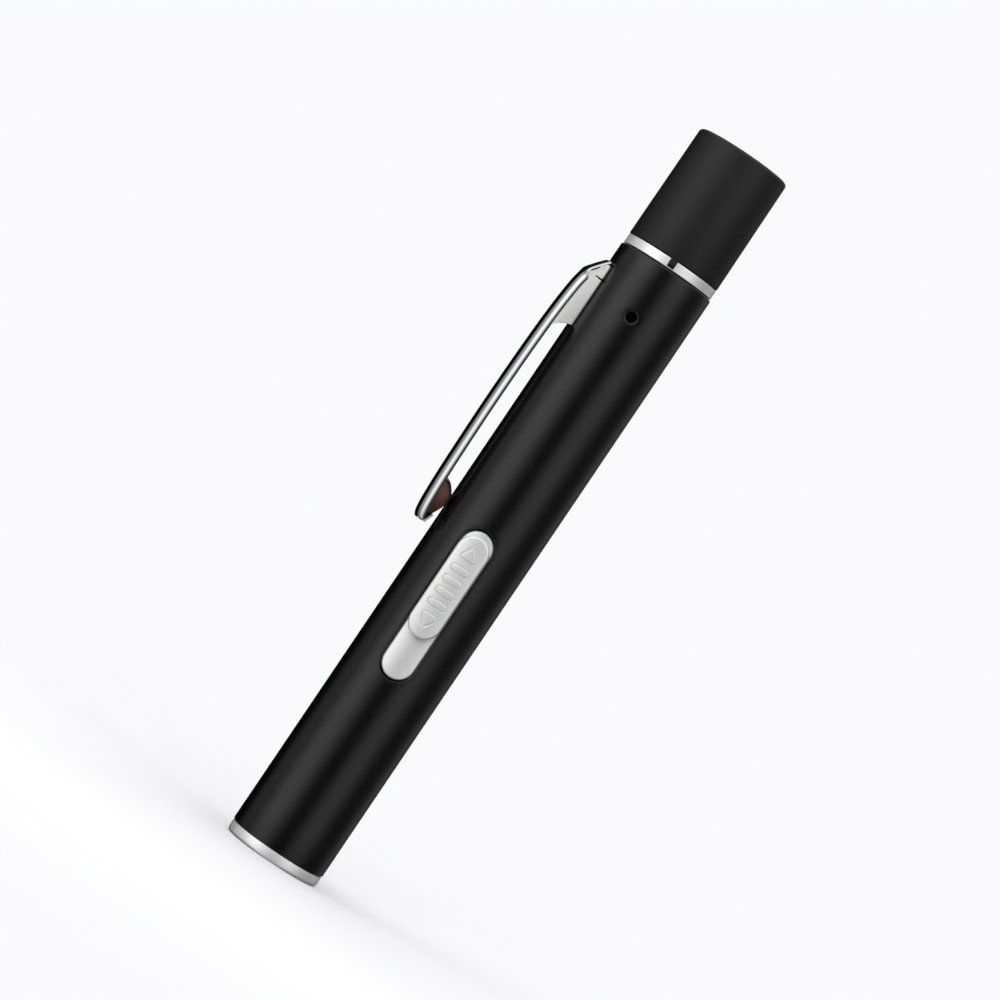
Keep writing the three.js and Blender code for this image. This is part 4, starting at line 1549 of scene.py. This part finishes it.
@dataclass
class Inside:
    """Pieces of the frame that keep their own shape, dressed by their record's slots."""

    plug_edge: float = 0.08 * MM
    plug_pieces: tuple[str, ...] = (
        "usb_shell", "usb_tongue", "usb_contact_1", "usb_contact_2", "usb_contact_3", "usb_contact_4",
        "plug_carrier_upper", "plug_carrier_lower",
    )

    def build(self) -> None:
        """Dress every node and ease the plug's edges."""
        by_slot = {finish.slot: finish for finish in FINISHES}
        for part in frame["record"]["subparts"]:
            by_slot[part["material_slot"]].dress(frame["nodes"][part["node"]])
        for name in self.plug_pieces:
            soften(frame["nodes"][name], self.plug_edge)


@dataclass(frozen=True)
class Lamp:
    """Flat soft light that metal doesn't show, placed by its turn from the camera's side of the pen."""

    name: str
    turn: float
    distance: float
    height: float
    width: float
    tall: float
    radiance: float

    def hang(self, heading: float, aim: Vector) -> None:
        """Hang the lamp and point it at the pen.

        Args:
            heading: The camera's own turn about the pen.
            aim: Point that the lamp faces.
        """
        data = bpy.data.lights.new(self.name, "AREA")
        data.shape = "RECTANGLE"
        data.size, data.size_y = self.width, self.tall
        data.energy = self.radiance * math.pi * self.width * self.tall
        lamp = bpy.data.objects.new(self.name, data)
        bpy.context.scene.collection.objects.link(lamp)
        angle = heading + math.radians(self.turn)
        lamp.location = (math.sin(angle) * self.distance, -math.cos(angle) * self.distance, self.height)
        lamp.rotation_euler = (aim - lamp.location).to_track_quat("-Z", "Y").to_euler()
        lamp.visible_glossy = False
        lamp.visible_camera = False


@dataclass
class Studio:
    """Camera, soft lights, surroundings and floor.

    The panels are brightness round the pen, as (degrees to the right of the camera, level) stops.
    """

    heading: float = math.radians(4.0)
    distance: float = 668.0 * MM
    lens: float = 170.9
    sensor: float = 36.0
    aim_height: float = 59.7 * MM
    aim_left: float = 1.44 * MM
    roll: float = math.radians(34.01)
    lamps: tuple[Lamp, ...] = (
        Lamp("box_left", -50, 0.7, 0.25, 0.4, 0.6, 1.6),
        Lamp("box_right", 45, 0.7, 0.25, 0.4, 0.6, 0.8),
        Lamp("fill_front", 0, 1.1, 0.5, 0.9, 0.9, 2.6),
        Lamp("fill_above", 180, 0.25, 1.1, 0.9, 0.9, 2.0),
    )
    panels: tuple[Pair, ...] = (
        (-180, 0.02), (-160, 0.0), (-122, 0.0), (-112, 0.26), (-100, 0.3), (-86, 0.38), (-76, 0.64),
        (-66, 1.05), (-58, 1.3), (-44, 1.3), (-32, 0.95), (-20, 0.42), (-8, 0.06), (4, 0.02),
        (13, 0.1), (23, 0.5), (36, 0.8), (50, 0.8), (61, 0.5), (74, 0.18), (88, 0.08),
        (108, 0.1), (122, 0.2), (138, 0.3), (150, 0.12), (170, 0.1), (180, 0.1),
    )
    panel_heights: Pair = (-0.3, 0.3)
    panel_strengths: Pair = (0.6, 1.3)
    zenith: float = 0.75
    zenith_heights: Pair = (0.35, 0.9)
    backdrop: str = "#fafafc"
    behind: float = math.radians(175)
    floor_tone: str = "#dfdfe1"
    floor_roughness: float = 0.9
    floor_radius: float = 0.2
    floor_clear: float = 0.07
    floor_drop: float = 0.02 * MM
    floor_rings: int = 4
    floor_sides: int = 64

    def build(self) -> None:
        """Set up the whole studio."""
        self.build_camera()
        for lamp in self.lamps:
            lamp.hang(self.heading, Vector((0.0, 0.0, self.aim_height)))
        self.build_world()
        self.build_floor()
        bpy.context.scene.view_settings.view_transform = "Standard"

    def build_camera(self) -> None:
        """Stand the camera level with the pen, rolled as the photograph is."""
        data = bpy.data.cameras.new("camera")
        data.lens, data.sensor_width = self.lens, self.sensor
        camera = bpy.data.objects.new("camera", data)
        bpy.context.scene.collection.objects.link(camera)
        back = Vector((math.sin(self.heading), -math.cos(self.heading), 0.0))
        right = Vector((math.cos(self.heading), math.sin(self.heading), 0.0))
        camera.location = back * self.distance - right * self.aim_left + Vector((0, 0, self.aim_height))
        level = (-back).to_track_quat("-Z", "Y").to_matrix().to_4x4()
        camera.matrix_world = Matrix.Translation(camera.location) @ level @ Matrix.Rotation(self.roll, 4, "Z")
        bpy.context.scene.camera = camera

    def build_world(self) -> None:
        """Ring the pen with light and dark panels, on a plain pale background."""
        world = bpy.data.worlds.new("studio")
        bpy.context.scene.world = world
        world.use_nodes = True
        world.node_tree.nodes.clear()
        wiring = Wiring(world.node_tree)
        way = wiring.add("TexCoord").outputs["Generated"]
        cos, sin = math.cos(self.heading), math.sin(self.heading)
        across, towards = [
            wiring.add("VectorMath", {0: way, 1: axis}, operation="DOT_PRODUCT").outputs["Value"]
            for axis in ((cos, sin, 0.0), (sin, -cos, 0.0))
        ]
        angle = wiring.sum("ARCTAN2", across, towards)
        height = wiring.add("SeparateXYZ", {"Vector": way}).outputs["Z"]
        lit = wiring.add("Background", {
            "Color": self.surroundings(wiring, angle, height),
            "Strength": wiring.ranged(height, self.panel_heights, self.panel_strengths),
        })
        plain = wiring.add("Background", {"Color": linear(self.backdrop)})
        mix = wiring.add("MixShader", {
            "Fac": self.plain_rays(wiring, angle),
            1: lit.outputs["Background"],
            2: plain.outputs["Background"],
        })
        wiring.add("OutputWorld", {"Surface": mix.outputs["Shader"]})

    def surroundings(self, wiring: Wiring, angle: Socket, height: Socket) -> Socket:
        """Colour the panels round the pen and the sky above them.

        Args:
            wiring: The world's wiring.
            angle: Turn of a ray about the pen, from the camera's side.
            height: How steeply the ray climbs.

        Returns:
            The socket with the colour.
        """
        ring = wiring.add("ValToRGB", {"Fac": wiring.ranged(angle, (-math.pi, math.pi))})
        stops = ring.color_ramp.elements
        for index, (degrees, level) in enumerate(self.panels):
            place = degrees / 360 + 0.5
            stop = stops[index] if index < 2 else stops.new(place)
            stop.position = place
            stop.color = (level, level, level, 1.0)
        dome = wiring.add("Mix", {
            "Factor": wiring.ranged(height, self.zenith_heights, kind="SMOOTHSTEP"),
            "A": ring.outputs["Color"],
            "B": (self.zenith, self.zenith, self.zenith, 1.0),
        }, data_type="RGBA")
        return dome.outputs["Result"]

    def plain_rays(self, wiring: Wiring, angle: Socket) -> Socket:
        """Pick the rays that meet the plain background: seen straight, through glass, or right behind.

        Args:
            wiring: The world's wiring.
            angle: Turn of a ray about the pen.

        Returns:
            The socket with the mask.
        """
        path = wiring.add("LightPath").outputs
        behind = wiring.ranged(wiring.sum("ABSOLUTE", angle), (self.behind, math.pi))
        mirrored = wiring.sum("MULTIPLY", path["Is Glossy Ray"], behind)
        through = wiring.sum("MAXIMUM", path["Is Transmission Ray"], mirrored)
        return wiring.sum("MAXIMUM", path["Is Camera Ray"], through)

    def build_floor(self) -> None:
        """Lay a pale round floor that keeps the pen's shadow and melts into the background."""
        sides = self.floor_sides
        points, faces = [(0.0, 0.0, -self.floor_drop)], []
        for radius in spread(0.0, self.floor_radius, self.floor_rings)[1:]:
            for angle in spread(0.0, math.tau, sides)[:-1]:
                points.append((radius * math.cos(angle), radius * math.sin(angle), -self.floor_drop))
        for s in range(sides):
            t = (s + 1) % sides
            faces.append((0, 1 + s, 1 + t))
            for ring in range(self.floor_rings - 1):
                a, b = 1 + ring * sides, 1 + (ring + 1) * sides
                faces.append((a + s, b + s, b + t, a + t))
        floor = mesh_piece("floor", points, faces)
        made = bpy.data.materials.new("pale_floor")
        made.use_nodes = True
        wiring = Wiring(made.node_tree)
        place = wiring.add("TexCoord").outputs["Object"]
        far = wiring.add("VectorMath", {0: place}, operation="LENGTH").outputs["Value"]
        reach = (self.floor_clear, self.floor_radius)
        wiring.feed(made.node_tree.nodes["Principled BSDF"], {
            "Base Color": linear(self.floor_tone),
            "Roughness": self.floor_roughness,
            "Specular IOR Level": 0.0,
            "Alpha": wiring.ranged(far, reach, (1.0, 0.0), "SMOOTHSTEP"),
        })
        floor.data.materials.append(made)
        floor.visible_glossy = floor.visible_diffuse = False


def main() -> None:
    """Build the pen and its studio, logging each piece's face count and each part as it is built."""
    logging.basicConfig(level=logging.INFO, format="%(name)s %(message)s")
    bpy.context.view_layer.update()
    Inside().build()
    for part in (Barrel(), LightEnd(), Switch(), CapEnd(), Clip()):
        part.build()
        log.info("%s built", type(part).__name__)
    Studio().build()


if __name__ == "__main__":
    main()
